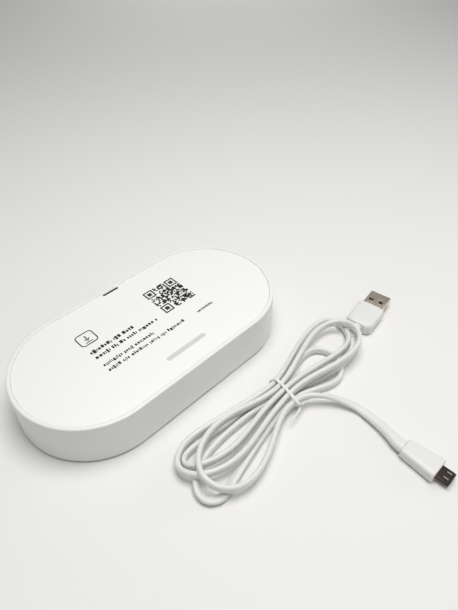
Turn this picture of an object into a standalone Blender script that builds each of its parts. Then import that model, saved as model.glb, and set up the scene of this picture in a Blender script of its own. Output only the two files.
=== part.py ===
"""Smart home hub with its USB lead, built as an assembly of separate pieces.

Frame: metres, +Z up. The origin is the centre of the hub's footprint on the surface it stands on.
+X runs along the hub's length and +Y points to its rear, where the status light and the socket are.
"""

import math

import bmesh
import bpy
from mathutils import Vector

# ---- Driving dimensions, in metres ----

GAP = 0.0003  # clearance between pieces that touch
LENS_GAP = 0.0001  # clearance round the small light window
JOIN = 0.0004  # how far joined solids run into each other

HUB_LENGTH = 0.148
HUB_WIDTH = 0.075
HUB_HEIGHT = 0.025
WALL = 0.0022  # side wall, and the rim seen round the face panel
EDGE_ROUND = 0.0009
FOOT_HEIGHT = 0.0012  # the dark slit under the side wall

PANEL_THICKNESS = 0.0020
PANEL_RECESS = 0.0003
PANEL_ROUND = 0.0005
PRESS_TRAVEL = 0.0004
PANEL_AIR = 0.0014
DECK_THICKNESS = 0.0015

HOOK_FROM_END = 0.027
HOOK_FROM_SIDE = 0.0145
HOOK_THICKNESS = 0.0012
HOOK_WIDTH = 0.0050
HOOK_BARB = 0.0010
HOOK_BARB_HEIGHT = 0.0009

BASE_THICKNESS = 0.0025
FOOT_INSET = 0.0045
FOOT_WIDTH = 0.0040
FOOT_SEAT = 0.0005
VENT_LENGTH = 0.022
VENT_WIDTH = 0.0018
VENT_PITCH = 0.0055
VENT_COUNT = 7

SCREW_FROM_END = 0.022
SCREW_FROM_SIDE = 0.020
SCREW_HEAD_RADIUS = 0.0025
SCREW_HEAD_HEIGHT = 0.0012
SCREW_SHANK_RADIUS = 0.0011
SCREW_LENGTH = 0.0080
SCREW_SUNK = 0.0002
SCREW_SLOT_WIDTH = 0.0006
SCREW_SLOT_LENGTH = 0.0028
SCREW_SLOT_DEPTH = 0.0007
BOSS_RADIUS = 0.0032

BOARD_END_ROOM = 0.0048  # from the board's end to the cover screws' posts
BOARD_DEPTH = 0.052
BOARD_THICKNESS = 0.0016
BOARD_CORNER = 0.005
BOARD_BOTTOM = 0.0104
BOARD_REAR_GAP = 0.0008
BOARD_POST_INSET_X = 0.006
BOARD_POST_INSET_Y = 0.0055
BOARD_POST_RADIUS = 0.0026

KEY_SPACING = 0.030
KEY_BODY = 0.0060
KEY_BODY_HEIGHT = 0.0035
KEY_PLUNGER_RADIUS = 0.0010
KEY_SOCKET_DEPTH = 0.0022

LIGHT_X = 0.0003
LIGHT_FROM_REAR = 0.0039
LIGHT_LENGTH = 0.0098
LIGHT_WIDTH = 0.0012
GUIDE_LENGTH = 0.0080
GUIDE_WIDTH = 0.0010
LED_SIZE = (0.0032, 0.0016, 0.0011)

SOCKET_X = -0.018
SOCKET_WIDTH = 0.0076
SOCKET_HEIGHT = 0.0027
SOCKET_LENGTH = 0.0054
SOCKET_WALL = 0.0003
SOCKET_SUNK = 0.0006
SOCKET_REVEAL = 0.0005
TONGUE_WIDTH = 0.0037
TONGUE_THICKNESS = 0.0006
SOCKET_BLOCK = 0.0012

RESET_X = 0.018
RESET_HEIGHT = 0.0026  # axis above the board
RESET_RADIUS = 0.0010
RESET_FLANGE_RADIUS = 0.0018
RESET_FLANGE = 0.0012
RESET_SUNK = 0.0002
RESET_TRAVEL = 0.0005
RESET_BODY = (0.0060, 0.0036, 0.0042)
RESET_PLUNGER_RADIUS = 0.0007
RESET_PLUNGER_REACH = 0.0021
RESET_SOCKET_DEPTH = 0.0016

# Parts on the board: centre x, distance of the centre in front of the board's rear edge, size.
PROCESSOR = (0.015, 0.017, (0.014, 0.014, 0.0014))
MEMORY_CHIP = (0.015, 0.044, (0.011, 0.008, 0.0010))
RADIO_SHIELD = (-0.015, 0.021, (0.018, 0.015, 0.0026))
WIFI_SHIELD = (-0.015, 0.042, (0.014, 0.012, 0.0022))
INDUCTOR = (-0.030, 0.022, (0.006, 0.006, 0.0030))
CRYSTAL = (0.002, 0.017, (0.0032, 0.0025, 0.0008))
CAN_WALL = 0.0004
CAPACITOR = (-0.033, 0.011, 0.0031, 0.0060)  # centre x, distance, radius, height

WIRE_RADIUS = 0.0005
WIRE_FRONT_INSET = 0.0017
WIRE_END_INSET = 0.008
WIRE_HEIGHT = 0.0045
STRIP_LENGTH = 0.030
STRIP_HEIGHT = 0.008
STRIP_THICKNESS = 0.0004
STRIP_BOTTOM = 0.0070
COAX_RADIUS = 0.0006
COAX_PLUG_RADIUS = 0.0015
COAX_PLUG_HEIGHT = 0.0013
COAX_PLUG = (0.004, 0.044)  # x, distance

# ---- The lead: where its pieces lie beside the hub ----

CORD_SECTION = (0.0044, 0.0025)  # the width and thickness of the flat cable
CABLE_ARC_STEPS = 5
WIRE_RESOLUTION = 2

USB_REAR = (0.0896, -0.0656)  # middle of the grip's rear face
USB_HEADING = math.radians(8.0)
USB_GRIP = (0.0182, 0.0146, 0.0078)
USB_GRIP_CORNER = 0.0028
USB_GRIP_ROUND = 0.0011
USB_SHELL = (0.0122, 0.0120, 0.0045)  # the exposed length, width, height
USB_SHELL_WALL = 0.00035
USB_SHELL_SEAT = 0.0026
USB_WINDOW = 0.0022
USB_WINDOW_SPREAD = 0.0029
USB_WINDOW_FROM_GRIP = 0.0052
USB_TONGUE_THICKNESS = 0.0017
USB_CONTACT = (0.0075, 0.0010, 0.0002)
USB_CONTACT_PITCH = 0.0023

MICRO_REAR = (0.0415, -0.1243)
MICRO_HEADING = math.radians(-90.0)
MICRO_GRIP = (0.0172, 0.0110, 0.0066)
MICRO_GRIP_CORNER = 0.0014
MICRO_GRIP_ROUND = 0.0019
MICRO_SHELL = (0.0062, 0.0071, 0.0019)
MICRO_SHELL_WALL = 0.00025
MICRO_SHELL_SEAT = 0.0018
MICRO_TONGUE_THICKNESS = 0.0006
LATCH = (0.0022, 0.0006, 0.0003)
LATCH_SPREAD = 0.0016
LATCH_FROM_GRIP = 0.0038
LATCH_CLEARANCE = 0.00015

USB_BOOT_ROUTE = [
    (0.0893, -0.0656, 0.0039),
    (0.0875, -0.0659, 0.0039),
    (0.0848, -0.0672, 0.0033),
    (0.0822, -0.0692, 0.0033),
]
USB_BOOT_SECTIONS = ((0.0056, 0.0052), (0.0048, 0.0030))  # at the grip, at the cable
MICRO_BOOT_ROUTE = [
    (0.0457, -0.1007, 0.0023),
    (0.0450, -0.1080, 0.0026),
    (0.0434, -0.1156, 0.0031),
    (0.0416, -0.1212, 0.0033),
    (0.0415, -0.1226, 0.0033),
    (0.0415, -0.1240, 0.0033),
]
MICRO_BOOT_SECTIONS = ((0.0048, 0.0030), (0.0062, 0.0048))  # at the cable, at the grip
LEAD_ROUTE = [
    (0.0342, -0.0771, 0.0058),
    (0.0382, -0.0810, 0.0054),
    (0.0418, -0.0856, 0.0044),
    (0.0445, -0.0915, 0.0032),
    (0.0457, -0.0971, 0.0024),
    (0.0457, -0.1004, 0.0023),
]

HANK_HEIGHT = 0.0118
HANK_FAR_LOBE = (0.0712, -0.0618, 0.0168)  # centre x, y and radius of the end by the large plug
HANK_NEAR_LOBE = (-0.0212, -0.0688, 0.0192)
HANK_WAIST_X = 0.0265
HANK_WAIST_Y = -0.0660
HANK_WAIST_WIDTH = 0.0176
HANK_WAIST_BOTTOM = 0.0010
HANK_WAIST_TOP = 0.0086
NOTCH_LENGTH = 0.012  # where the large plug's boot enters the hank
BOOT_ROOM = 0.0012
TIE_WIDTH = 0.0018
TIE_THICKNESS = 0.0006
TIE_CORNER = 0.0010

# ---- Heights and faces that follow from them ----

HOOK_X = HUB_LENGTH / 2 - HOOK_FROM_END
HOOK_Y = HUB_WIDTH / 2 - HOOK_FROM_SIDE
SCREW_X = HUB_LENGTH / 2 - SCREW_FROM_END
SCREW_Y = HUB_WIDTH / 2 - SCREW_FROM_SIDE
LIGHT_Y = HUB_WIDTH / 2 - LIGHT_FROM_REAR
BOARD_LENGTH = 2 * (SCREW_X - BOSS_RADIUS - BOARD_END_ROOM)
PANEL_TOP = HUB_HEIGHT - PANEL_RECESS
PANEL_BOTTOM = PANEL_TOP - PANEL_THICKNESS
DECK_TOP = PANEL_BOTTOM - PANEL_AIR
DECK_BOTTOM = DECK_TOP - DECK_THICKNESS
BASE_TOP = FOOT_HEIGHT + BASE_THICKNESS
BOARD_TOP = BOARD_BOTTOM + BOARD_THICKNESS
ON_BOARD = BOARD_TOP + GAP
INNER_Y = HUB_WIDTH / 2 - WALL
BOARD_REAR = INNER_Y - BOARD_REAR_GAP
BOARD_FRONT = BOARD_REAR - BOARD_DEPTH
BOARD_Y = (BOARD_REAR + BOARD_FRONT) / 2
RESET_Z = BOARD_TOP + RESET_HEIGHT


# ---- Collections and materials ----

for old in list(bpy.data.objects):
    bpy.data.objects.remove(old)

scene = bpy.context.scene
hub_collection = bpy.data.collections.new("smart_home_hub")
tool_collection = bpy.data.collections.new("cutters")
scene.collection.children.link(hub_collection)
scene.collection.children.link(tool_collection)


def make_material(name, colour, roughness, metallic=0.0):
    material = bpy.data.materials.new(name)
    material.use_nodes = True
    shader = material.node_tree.nodes["Principled BSDF"]
    shader.inputs["Base Color"].default_value = (*colour, 1.0)
    shader.inputs["Roughness"].default_value = roughness
    shader.inputs["Metallic"].default_value = metallic
    return material


WHITE_PLASTIC = make_material("white_plastic", (0.86, 0.87, 0.85), 0.45)
CLEAR_PLASTIC = make_material("clear_plastic", (0.80, 0.84, 0.86), 0.15)
SMOKED_PLASTIC = make_material("smoked_plastic", (0.05, 0.05, 0.05), 0.20)
DARK_RUBBER = make_material("dark_rubber", (0.06, 0.06, 0.06), 0.80)
BLACK_PLASTIC = make_material("black_plastic", (0.03, 0.03, 0.03), 0.40)
GREEN_BOARD = make_material("green_board", (0.03, 0.16, 0.08), 0.40)
TIN_PLATE = make_material("tin_plate", (0.70, 0.71, 0.72), 0.35, 1.0)
ZINC_STEEL = make_material("zinc_steel", (0.62, 0.62, 0.60), 0.35, 1.0)
NICKEL_STEEL = make_material("nickel_steel", (0.55, 0.51, 0.47), 0.30, 1.0)
GOLD_CONTACT = make_material("gold_contact", (0.83, 0.66, 0.32), 0.25, 1.0)
COPPER_WIRE = make_material("copper_wire", (0.72, 0.42, 0.26), 0.35, 1.0)
BLACK_STEEL = make_material("black_steel", (0.10, 0.09, 0.08), 0.35, 1.0)
LEAD_PLASTIC = make_material("lead_plastic", (0.88, 0.88, 0.87), 0.50)
AMBER_FILM = make_material("amber_film", (0.55, 0.30, 0.08), 0.35)


# ---- Outlines ----


def arc(centre, radius, start, end, steps):
    """Points along an arc, in degrees, both ends included."""
    angles = [math.radians(start + (end - start) * i / steps) for i in range(steps + 1)]
    return [(centre[0] + radius * math.cos(a), centre[1] + radius * math.sin(a)) for a in angles]


def stadium(length, width, centre=(0.0, 0.0), steps=20):
    """A racetrack outline: two half circles joined by straight sides."""
    radius = width / 2
    offset = length / 2 - radius
    right = arc((centre[0] + offset, centre[1]), radius, -90, 90, steps)
    left = arc((centre[0] - offset, centre[1]), radius, 90, 270, steps)
    return right + left


def hub_outline(inset):
    return stadium(HUB_LENGTH - 2 * inset, HUB_WIDTH - 2 * inset)


def rounded_rectangle(length, width, corner, centre=(0.0, 0.0), steps=4):
    points = []
    for quarter, (sx, sy) in enumerate([(1, 1), (-1, 1), (-1, -1), (1, -1)]):
        middle = (
            centre[0] + sx * (length / 2 - corner),
            centre[1] + sy * (width / 2 - corner),
        )
        points += arc(middle, corner, 90 * quarter, 90 * quarter + 90, steps)
    return points


def smooth_route(points, steps):
    """A smooth curve through the points, each stretch read at the same number of steps."""
    ends = [2 * points[0] - points[1], *points, 2 * points[-1] - points[-2]]
    curve = []
    for before, start, stop, after in zip(ends, ends[1:], ends[2:], ends[3:]):
        for i in range(steps):
            t = i / steps
            curve.append(
                0.5
                * (
                    2 * start
                    + (stop - before) * t
                    + (2 * before - 5 * start + 4 * stop - after) * t**2
                    + (3 * start - before - 3 * stop + after) * t**3
                )
            )
    return [*curve, points[-1]]


# ---- Solids ----


def place(obj, material, parent=None):
    """Puts a finished piece in the hub's collection, with its material."""
    for collection in list(obj.users_collection):
        collection.objects.unlink(obj)
    hub_collection.objects.link(obj)
    obj.data.materials.clear()
    obj.data.materials.append(material)
    if obj.type == "MESH":
        obj.data.shade_smooth()
        obj.data.set_sharp_from_angle(angle=math.radians(35))
    if parent:
        obj.parent = parent
    return obj


def as_tool(obj):
    """Keeps a cutter, or a solid that is joined to another, out of the model."""
    for collection in list(obj.users_collection):
        collection.objects.unlink(obj)
    tool_collection.objects.link(obj)
    obj.hide_render = True
    obj.display_type = "WIRE"
    return obj


def mesh_object(name, bm):
    mesh = bpy.data.meshes.new(name)
    bmesh.ops.recalc_face_normals(bm, faces=bm.faces)
    bm.to_mesh(mesh)
    bm.free()
    obj = bpy.data.objects.new(name, mesh)
    scene.collection.objects.link(obj)
    return obj


def curve_to_mesh(curve_object):
    """Turns a curve into a mesh, with its loose caps welded on."""
    graph = bpy.context.evaluated_depsgraph_get()
    mesh = bpy.data.meshes.new_from_object(curve_object.evaluated_get(graph))
    name = curve_object.name
    bpy.data.objects.remove(curve_object)
    bm = bmesh.new()
    bm.from_mesh(mesh)
    bmesh.ops.remove_doubles(bm, verts=bm.verts, dist=1e-6)
    bpy.data.meshes.remove(mesh)
    return mesh_object(name, bm)


def slab(name, outlines, bottom, top, rounding=0.0, rounding_steps=2):
    """A flat outline, with any holes, given thickness. Its top and bottom edges may be rounded."""
    curve = bpy.data.curves.new(name, "CURVE")
    curve.dimensions = "2D"
    curve.fill_mode = "BOTH"
    curve.extrude = (top - bottom) / 2 - rounding
    curve.bevel_depth = rounding
    curve.bevel_resolution = rounding_steps
    curve.offset = -rounding
    for outline in outlines:
        spline = curve.splines.new("POLY")
        spline.points.add(len(outline) - 1)
        for point, (x, y) in zip(spline.points, outline):
            point.co = (x, y, 0.0, 1.0)
        spline.use_cyclic_u = True
    obj = bpy.data.objects.new(name, curve)
    scene.collection.objects.link(obj)
    bpy.context.view_layer.update()
    solid = curve_to_mesh(obj)
    for vertex in solid.data.vertices:
        vertex.co.z += (bottom + top) / 2
    return solid


def block(name, size, centre):
    bm = bmesh.new()
    bmesh.ops.create_cube(bm, size=1.0)
    bmesh.ops.scale(bm, verts=bm.verts, vec=size)
    bmesh.ops.translate(bm, verts=bm.verts, vec=centre)
    return mesh_object(name, bm)


def rod(name, radius, start, end, sides=20):
    """A cylinder from one point to another."""
    start, end = Vector(start), Vector(end)
    bm = bmesh.new()
    bmesh.ops.create_cone(
        bm,
        cap_ends=True,
        segments=sides,
        radius1=radius,
        radius2=radius,
        depth=(end - start).length,
    )
    turn = Vector((0, 0, 1)).rotation_difference(end - start)
    bmesh.ops.rotate(bm, verts=bm.verts, cent=(0, 0, 0), matrix=turn.to_matrix())
    bmesh.ops.translate(bm, verts=bm.verts, vec=(start + end) / 2)
    return mesh_object(name, bm)


def turned(name, profile, location, steps=20, lean=0.0):
    """A turned piece: (radius, height) points down its outer side, from the axis back to the axis."""
    mesh = bpy.data.meshes.new(name)
    edges = [(i, i + 1) for i in range(len(profile) - 1)]
    mesh.from_pydata([(radius, 0.0, height) for radius, height in profile], edges, [])
    obj = bpy.data.objects.new(name, mesh)
    scene.collection.objects.link(obj)
    screw = obj.modifiers.new("turn", "SCREW")
    screw.steps = steps
    screw.render_steps = steps
    screw.use_merge_vertices = True
    screw.merge_threshold = 1e-6
    obj.location = location
    obj.rotation_euler = (lean, 0.0, 0.0)
    return obj


def tube(name, route, radius, steps=4):
    """A round wire along a smooth route."""
    points = smooth_route([Vector(p) for p in route], steps)
    curve = bpy.data.curves.new(name, "CURVE")
    curve.dimensions = "3D"
    curve.bevel_depth = radius
    curve.bevel_resolution = WIRE_RESOLUTION
    curve.use_fill_caps = True
    spline = curve.splines.new("POLY")
    spline.points.add(len(points) - 1)
    for point, place_of_point in zip(spline.points, points):
        point.co = (*place_of_point, 1.0)
    obj = bpy.data.objects.new(name, curve)
    scene.collection.objects.link(obj)
    return obj


def flat_cable(name, route, sections, on_edge=0.0, steps=3):
    """A flat cable with round edges, its section changing evenly along the route.

    It is turned up by on_edge degrees at its start and lies flat at its end.
    """
    points = smooth_route([Vector(p) for p in route], steps)
    last = len(points) - 1
    bm = bmesh.new()
    rings = []
    for i, point in enumerate(points):
        share = i / last
        ahead = (points[min(i + 1, last)] - points[max(i - 1, 0)]).normalized()
        side = ahead.cross(Vector((0, 0, 1))).normalized()
        turn = math.radians(on_edge) * (1 - share)
        wide = side * math.cos(turn) + side.cross(ahead) * math.sin(turn)
        thin = ahead.cross(wide)
        width, thickness = Vector(sections[0]).lerp(Vector(sections[1]), share)
        outline = stadium(width, thickness, steps=CABLE_ARC_STEPS)
        rings.append([bm.verts.new(point + wide * x + thin * y) for x, y in outline])
    for first, second in zip(rings, rings[1:]):
        for k, vertex in enumerate(first):
            after = (k + 1) % len(first)
            bm.faces.new((vertex, first[after], second[after], second[k]))
    bm.faces.new(rings[0])
    bm.faces.new(rings[-1])
    return mesh_object(name, bm)


def boolean(target, tool, operation):
    modifier = target.modifiers.new(tool.name, "BOOLEAN")
    modifier.operation = operation
    modifier.solver = "EXACT"
    modifier.object = as_tool(tool)


def cut(target, tool):
    boolean(target, tool, "DIFFERENCE")


def join(target, tool):
    boolean(target, tool, "UNION")


def grown_block(name, low, high):
    """A box between two corners."""
    low, high = Vector(low), Vector(high)
    return block(name, high - low, (low + high) / 2)


# ---- Housing: side wall, rim and inner deck in one moulding ----


def corners(x, y):
    return [(sx * x, sy * y) for sx in (1, -1) for sy in (1, -1)]


def board_post_places():
    x = BOARD_LENGTH / 2 - BOARD_POST_INSET_X
    ys = (BOARD_FRONT + BOARD_POST_INSET_Y, BOARD_REAR - BOARD_POST_INSET_Y)
    return [(sx * x, y) for sx in (1, -1) for y in ys]


KEY_PLACES = [(i * KEY_SPACING, 0.0) for i in (-1, 0, 1)]
PILOT_RADIUS = SCREW_SHANK_RADIUS + GAP


def make_housing():
    """The white shell. Posts hang from its deck: four outer ones for the base cover, four for the board."""
    housing = slab("housing", [hub_outline(0)], FOOT_HEIGHT, HUB_HEIGHT, EDGE_ROUND)
    above = HUB_HEIGHT + WALL
    below = FOOT_HEIGHT - WALL
    cut(housing, slab("panel_pocket", [hub_outline(WALL)], DECK_TOP, above))
    cut(housing, slab("inner_space", [hub_outline(WALL)], below, DECK_BOTTOM))
    for i, (x, y) in enumerate(corners(SCREW_X, SCREW_Y)):
        foot = BASE_TOP + GAP
        join(housing, rod(f"boss_{i}", BOSS_RADIUS, (x, y, foot), (x, y, DECK_BOTTOM + JOIN)))
        depth = foot + SCREW_LENGTH
        cut(housing, rod(f"boss_pilot_{i}", PILOT_RADIUS, (x, y, foot - JOIN), (x, y, depth), 12))
    for i, (x, y) in enumerate(board_post_places()):
        foot = BOARD_TOP + GAP
        post = rod(f"post_{i}", BOARD_POST_RADIUS, (x, y, foot), (x, y, DECK_BOTTOM + JOIN))
        join(housing, post)
        depth = foot + SCREW_LENGTH - SCREW_HEAD_HEIGHT - BOARD_THICKNESS
        cut(housing, rod(f"post_pilot_{i}", PILOT_RADIUS, (x, y, foot - JOIN), (x, y, depth), 12))
    for i, (x, y) in enumerate(corners(HOOK_X, HOOK_Y)):
        size = (HOOK_THICKNESS + 2 * GAP, HOOK_WIDTH + 2 * GAP, DECK_THICKNESS + 2 * JOIN)
        cut(housing, block(f"hook_slot_{i}", size, (x, y, (DECK_TOP + DECK_BOTTOM) / 2)))
    guide = stadium(GUIDE_LENGTH + 2 * GAP, GUIDE_WIDTH + 2 * GAP, (LIGHT_X, LIGHT_Y), 4)
    cut(housing, slab("guide_slot", [guide], DECK_BOTTOM - JOIN, DECK_TOP + JOIN))
    opening = (SOCKET_WIDTH + 2 * SOCKET_REVEAL, WALL + 2 * JOIN, SOCKET_HEIGHT + 2 * SOCKET_REVEAL)
    middle = (SOCKET_X, HUB_WIDTH / 2 - WALL / 2, ON_BOARD + SOCKET_HEIGHT / 2)
    cut(housing, block("socket_opening", opening, middle))
    start = (RESET_X, INNER_Y - JOIN, RESET_Z)
    end = (RESET_X, HUB_WIDTH / 2 + JOIN, RESET_Z)
    cut(housing, rod("reset_hole", RESET_RADIUS + GAP, start, end))
    for i, (x, y) in enumerate(KEY_PLACES):
        hole = KEY_PLUNGER_RADIUS + GAP
        bottom, top = DECK_BOTTOM - JOIN, DECK_TOP + JOIN
        cut(housing, rod(f"key_hole_{i}", hole, (x, y, bottom), (x, y, top)))
    return place(housing, WHITE_PLASTIC)


# ---- Face panel, which presses the keys, and its light window ----


def make_face():
    inset = WALL + GAP
    panel = slab("face_panel", [hub_outline(inset)], PANEL_BOTTOM, PANEL_TOP, PANEL_ROUND)
    slot = stadium(LIGHT_LENGTH, LIGHT_WIDTH, (LIGHT_X, LIGHT_Y), 4)
    cut(panel, slab("light_slot", [slot], PANEL_BOTTOM - JOIN, PANEL_TOP + JOIN))
    barb_top = DECK_BOTTOM - GAP
    for i, (x, y) in enumerate(corners(HOOK_X, HOOK_Y)):
        half = HOOK_THICKNESS / 2
        low = (x - half, y - HOOK_WIDTH / 2, barb_top - HOOK_BARB_HEIGHT)
        high = (x + half, y + HOOK_WIDTH / 2, PANEL_BOTTOM + JOIN)
        join(panel, grown_block(f"hook_leg_{i}", low, high))
        side = math.copysign(1.0, x)
        reach = HOOK_BARB + GAP + JOIN
        inner = x + side * (half - JOIN)
        outer = x + side * (half + reach)
        low = (min(inner, outer), y - HOOK_WIDTH / 2 + JOIN, barb_top - HOOK_BARB_HEIGHT + JOIN)
        high = (max(inner, outer), y + HOOK_WIDTH / 2 - JOIN, barb_top)
        join(panel, grown_block(f"hook_barb_{i}", low, high))
    place(panel, WHITE_PLASTIC)
    trim = 2 * LENS_GAP
    window = stadium(LIGHT_LENGTH - trim, LIGHT_WIDTH - trim, (LIGHT_X, LIGHT_Y), 4)
    lens = slab("light_window", [window], PANEL_BOTTOM, PANEL_TOP - LENS_GAP)
    place(lens, SMOKED_PLASTIC)


# ---- Base cover, foot and screws ----


def make_base():
    inset = WALL + GAP
    base = slab("base_cover", [hub_outline(inset)], FOOT_HEIGHT, BASE_TOP)
    groove = [hub_outline(FOOT_INSET - GAP), hub_outline(FOOT_INSET + FOOT_WIDTH + GAP)]
    seat = FOOT_HEIGHT + FOOT_SEAT + GAP
    cut(base, slab("foot_groove", groove, FOOT_HEIGHT - JOIN, seat))
    for i in range(VENT_COUNT):
        x = (i - (VENT_COUNT - 1) / 2) * VENT_PITCH
        vent = stadium(VENT_LENGTH, VENT_WIDTH, (0, 0), 4)
        upright = [(x - py, px) for px, py in vent]
        cut(base, slab(f"vent_{i}", [upright], FOOT_HEIGHT - JOIN, BASE_TOP + JOIN))
    head_top = FOOT_HEIGHT + SCREW_SUNK + SCREW_HEAD_HEIGHT
    for i, (x, y) in enumerate(corners(SCREW_X, SCREW_Y)):
        start = (x, y, FOOT_HEIGHT - JOIN)
        radius = SCREW_HEAD_RADIUS + GAP
        cut(base, rod(f"head_seat_{i}", radius, start, (x, y, head_top + GAP)))
        cut(base, rod(f"screw_way_{i}", PILOT_RADIUS, start, (x, y, BASE_TOP + JOIN), 12))
    place(base, WHITE_PLASTIC)
    ring = [hub_outline(FOOT_INSET), hub_outline(FOOT_INSET + FOOT_WIDTH)]
    foot = slab("base_foot", ring, 0.0, FOOT_HEIGHT + FOOT_SEAT)
    place(foot, DARK_RUBBER)
    for i, (x, y) in enumerate(corners(SCREW_X, SCREW_Y)):
        make_screw(f"base_screw_{i + 1}", (x, y, FOOT_HEIGHT + SCREW_SUNK))


def make_screw(name, location):
    """A pan head screw with a cross recess, its head down and its shank up."""
    length = SCREW_HEAD_HEIGHT + SCREW_LENGTH - 4 * GAP
    profile = [
        (0.0, length),
        (SCREW_SHANK_RADIUS * 0.7, length),
        (SCREW_SHANK_RADIUS, length - SCREW_SHANK_RADIUS * 0.7),
        (SCREW_SHANK_RADIUS, SCREW_HEAD_HEIGHT),
        (SCREW_HEAD_RADIUS, SCREW_HEAD_HEIGHT),
        (SCREW_HEAD_RADIUS, SCREW_HEAD_HEIGHT * 0.4),
        (SCREW_HEAD_RADIUS * 0.8, 0.0),
        (0.0, 0.0),
    ]
    screw = turned(name, profile, location, steps=16)
    long_side, depth = SCREW_SLOT_LENGTH, 2 * SCREW_SLOT_DEPTH
    for suffix, size in [
        ("a", (long_side, SCREW_SLOT_WIDTH, depth)),
        ("b", (SCREW_SLOT_WIDTH, long_side, depth)),
    ]:
        cut(screw, block(f"{name}_recess_{suffix}", size, location))
    place(screw, ZINC_STEEL)


# ---- Main board and what stands on it ----


def board_place(x, distance):
    """A place on the board, a distance in front of its rear edge."""
    return (x, BOARD_REAR - distance)


def chip(name, spot, material, cavity=False):
    x, y = board_place(spot[0], spot[1])
    size = spot[2]
    body = block(name, size, (x, y, ON_BOARD + size[2] / 2))
    if cavity:
        inner = (size[0] - 2 * CAN_WALL, size[1] - 2 * CAN_WALL, size[2])
        cut(body, block(f"{name}_inside", inner, (x, y, ON_BOARD + size[2] / 2 - CAN_WALL)))
    place(body, material)


def make_board():
    outline = rounded_rectangle(BOARD_LENGTH, BOARD_DEPTH, BOARD_CORNER, (0.0, BOARD_Y))
    board = slab("main_board", [outline], BOARD_BOTTOM, BOARD_TOP)
    for i, (x, y) in enumerate(board_post_places()):
        start, end = (x, y, BOARD_BOTTOM - JOIN), (x, y, BOARD_TOP + JOIN)
        cut(board, rod(f"board_hole_{i}", PILOT_RADIUS, start, end, 12))
    place(board, GREEN_BOARD)
    for i, (x, y) in enumerate(board_post_places()):
        make_screw(f"board_screw_{i + 1}", (x, y, BOARD_BOTTOM - GAP - SCREW_HEAD_HEIGHT))
    chip("processor", PROCESSOR, BLACK_PLASTIC)
    chip("memory_chip", MEMORY_CHIP, BLACK_PLASTIC)
    chip("radio_shield", RADIO_SHIELD, TIN_PLATE, cavity=True)
    chip("wifi_shield", WIFI_SHIELD, TIN_PLATE, cavity=True)
    chip("power_inductor", INDUCTOR, BLACK_PLASTIC)
    chip("crystal", CRYSTAL, TIN_PLATE)
    x, y = board_place(CAPACITOR[0], CAPACITOR[1])
    radius, height = CAPACITOR[2], CAPACITOR[3]
    profile = [(0.0, height), (radius * 0.9, height), (radius, height * 0.93)]
    profile += [(radius, 0.0), (0.0, 0.0)]
    place(turned("capacitor", profile, (x, y, ON_BOARD)), TIN_PLATE)


def make_keys():
    """Three tall push switches that the face panel presses together."""
    for i, (x, y) in enumerate(KEY_PLACES):
        top = ON_BOARD + KEY_BODY_HEIGHT
        size = (KEY_BODY, KEY_BODY, KEY_BODY_HEIGHT)
        body = block(f"key_switch_{i + 1}", size, (x, y, ON_BOARD + KEY_BODY_HEIGHT / 2))
        socket_bottom = top - KEY_SOCKET_DEPTH
        reach = KEY_PLUNGER_RADIUS + GAP
        socket = rod(f"key_socket_{i}", reach, (x, y, socket_bottom), (x, y, top + JOIN))
        cut(body, socket)
        place(body, BLACK_PLASTIC)
        plunger_bottom = socket_bottom + PRESS_TRAVEL + GAP
        height = PANEL_BOTTOM - GAP - plunger_bottom
        radius = KEY_PLUNGER_RADIUS
        profile = [(0.0, height), (radius * 0.85, height), (radius, height - radius * 0.15)]
        profile += [(radius, 0.0), (0.0, 0.0)]
        plunger = turned(f"key_plunger_{i + 1}", profile, (x, y, plunger_bottom))
        place(plunger, BLACK_PLASTIC)


def make_light():
    size = LED_SIZE
    led = block("status_led", size, (LIGHT_X, LIGHT_Y - GAP, ON_BOARD + size[2] / 2))
    place(led, CLEAR_PLASTIC)
    outline = stadium(GUIDE_LENGTH, GUIDE_WIDTH, (LIGHT_X, LIGHT_Y), 4)
    bottom = ON_BOARD + size[2] + GAP
    top = PANEL_BOTTOM - PRESS_TRAVEL - GAP
    place(slab("light_guide", [outline], bottom, top), CLEAR_PLASTIC)


def make_socket():
    """The small rear power socket: a folded steel shell with its tongue inside."""
    mouth = HUB_WIDTH / 2 - SOCKET_SUNK
    middle = (SOCKET_X, mouth - SOCKET_LENGTH / 2, ON_BOARD + SOCKET_HEIGHT / 2)
    shell = block("usb_socket_shell", (SOCKET_WIDTH, SOCKET_LENGTH, SOCKET_HEIGHT), middle)
    inner = (SOCKET_WIDTH - 2 * SOCKET_WALL, SOCKET_LENGTH + 2 * JOIN, SOCKET_HEIGHT - 2 * SOCKET_WALL)
    cut(shell, block("socket_inside", inner, middle))
    place(shell, TIN_PLATE)
    width = SOCKET_WIDTH - 2 * SOCKET_WALL - 2 * GAP
    height = SOCKET_HEIGHT - 2 * SOCKET_WALL - 2 * GAP
    rear = mouth - SOCKET_LENGTH
    centre = (SOCKET_X, rear + SOCKET_BLOCK / 2, middle[2])
    tongue = block("usb_socket_tongue", (width, SOCKET_BLOCK, height), centre)
    low = (SOCKET_X - TONGUE_WIDTH / 2, rear + SOCKET_BLOCK / 2, middle[2] - TONGUE_THICKNESS / 2)
    high = (SOCKET_X + TONGUE_WIDTH / 2, mouth - SOCKET_BLOCK / 2, middle[2] + TONGUE_THICKNESS / 2)
    join(tongue, grown_block("tongue_blade", low, high))
    place(tongue, BLACK_PLASTIC)


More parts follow.
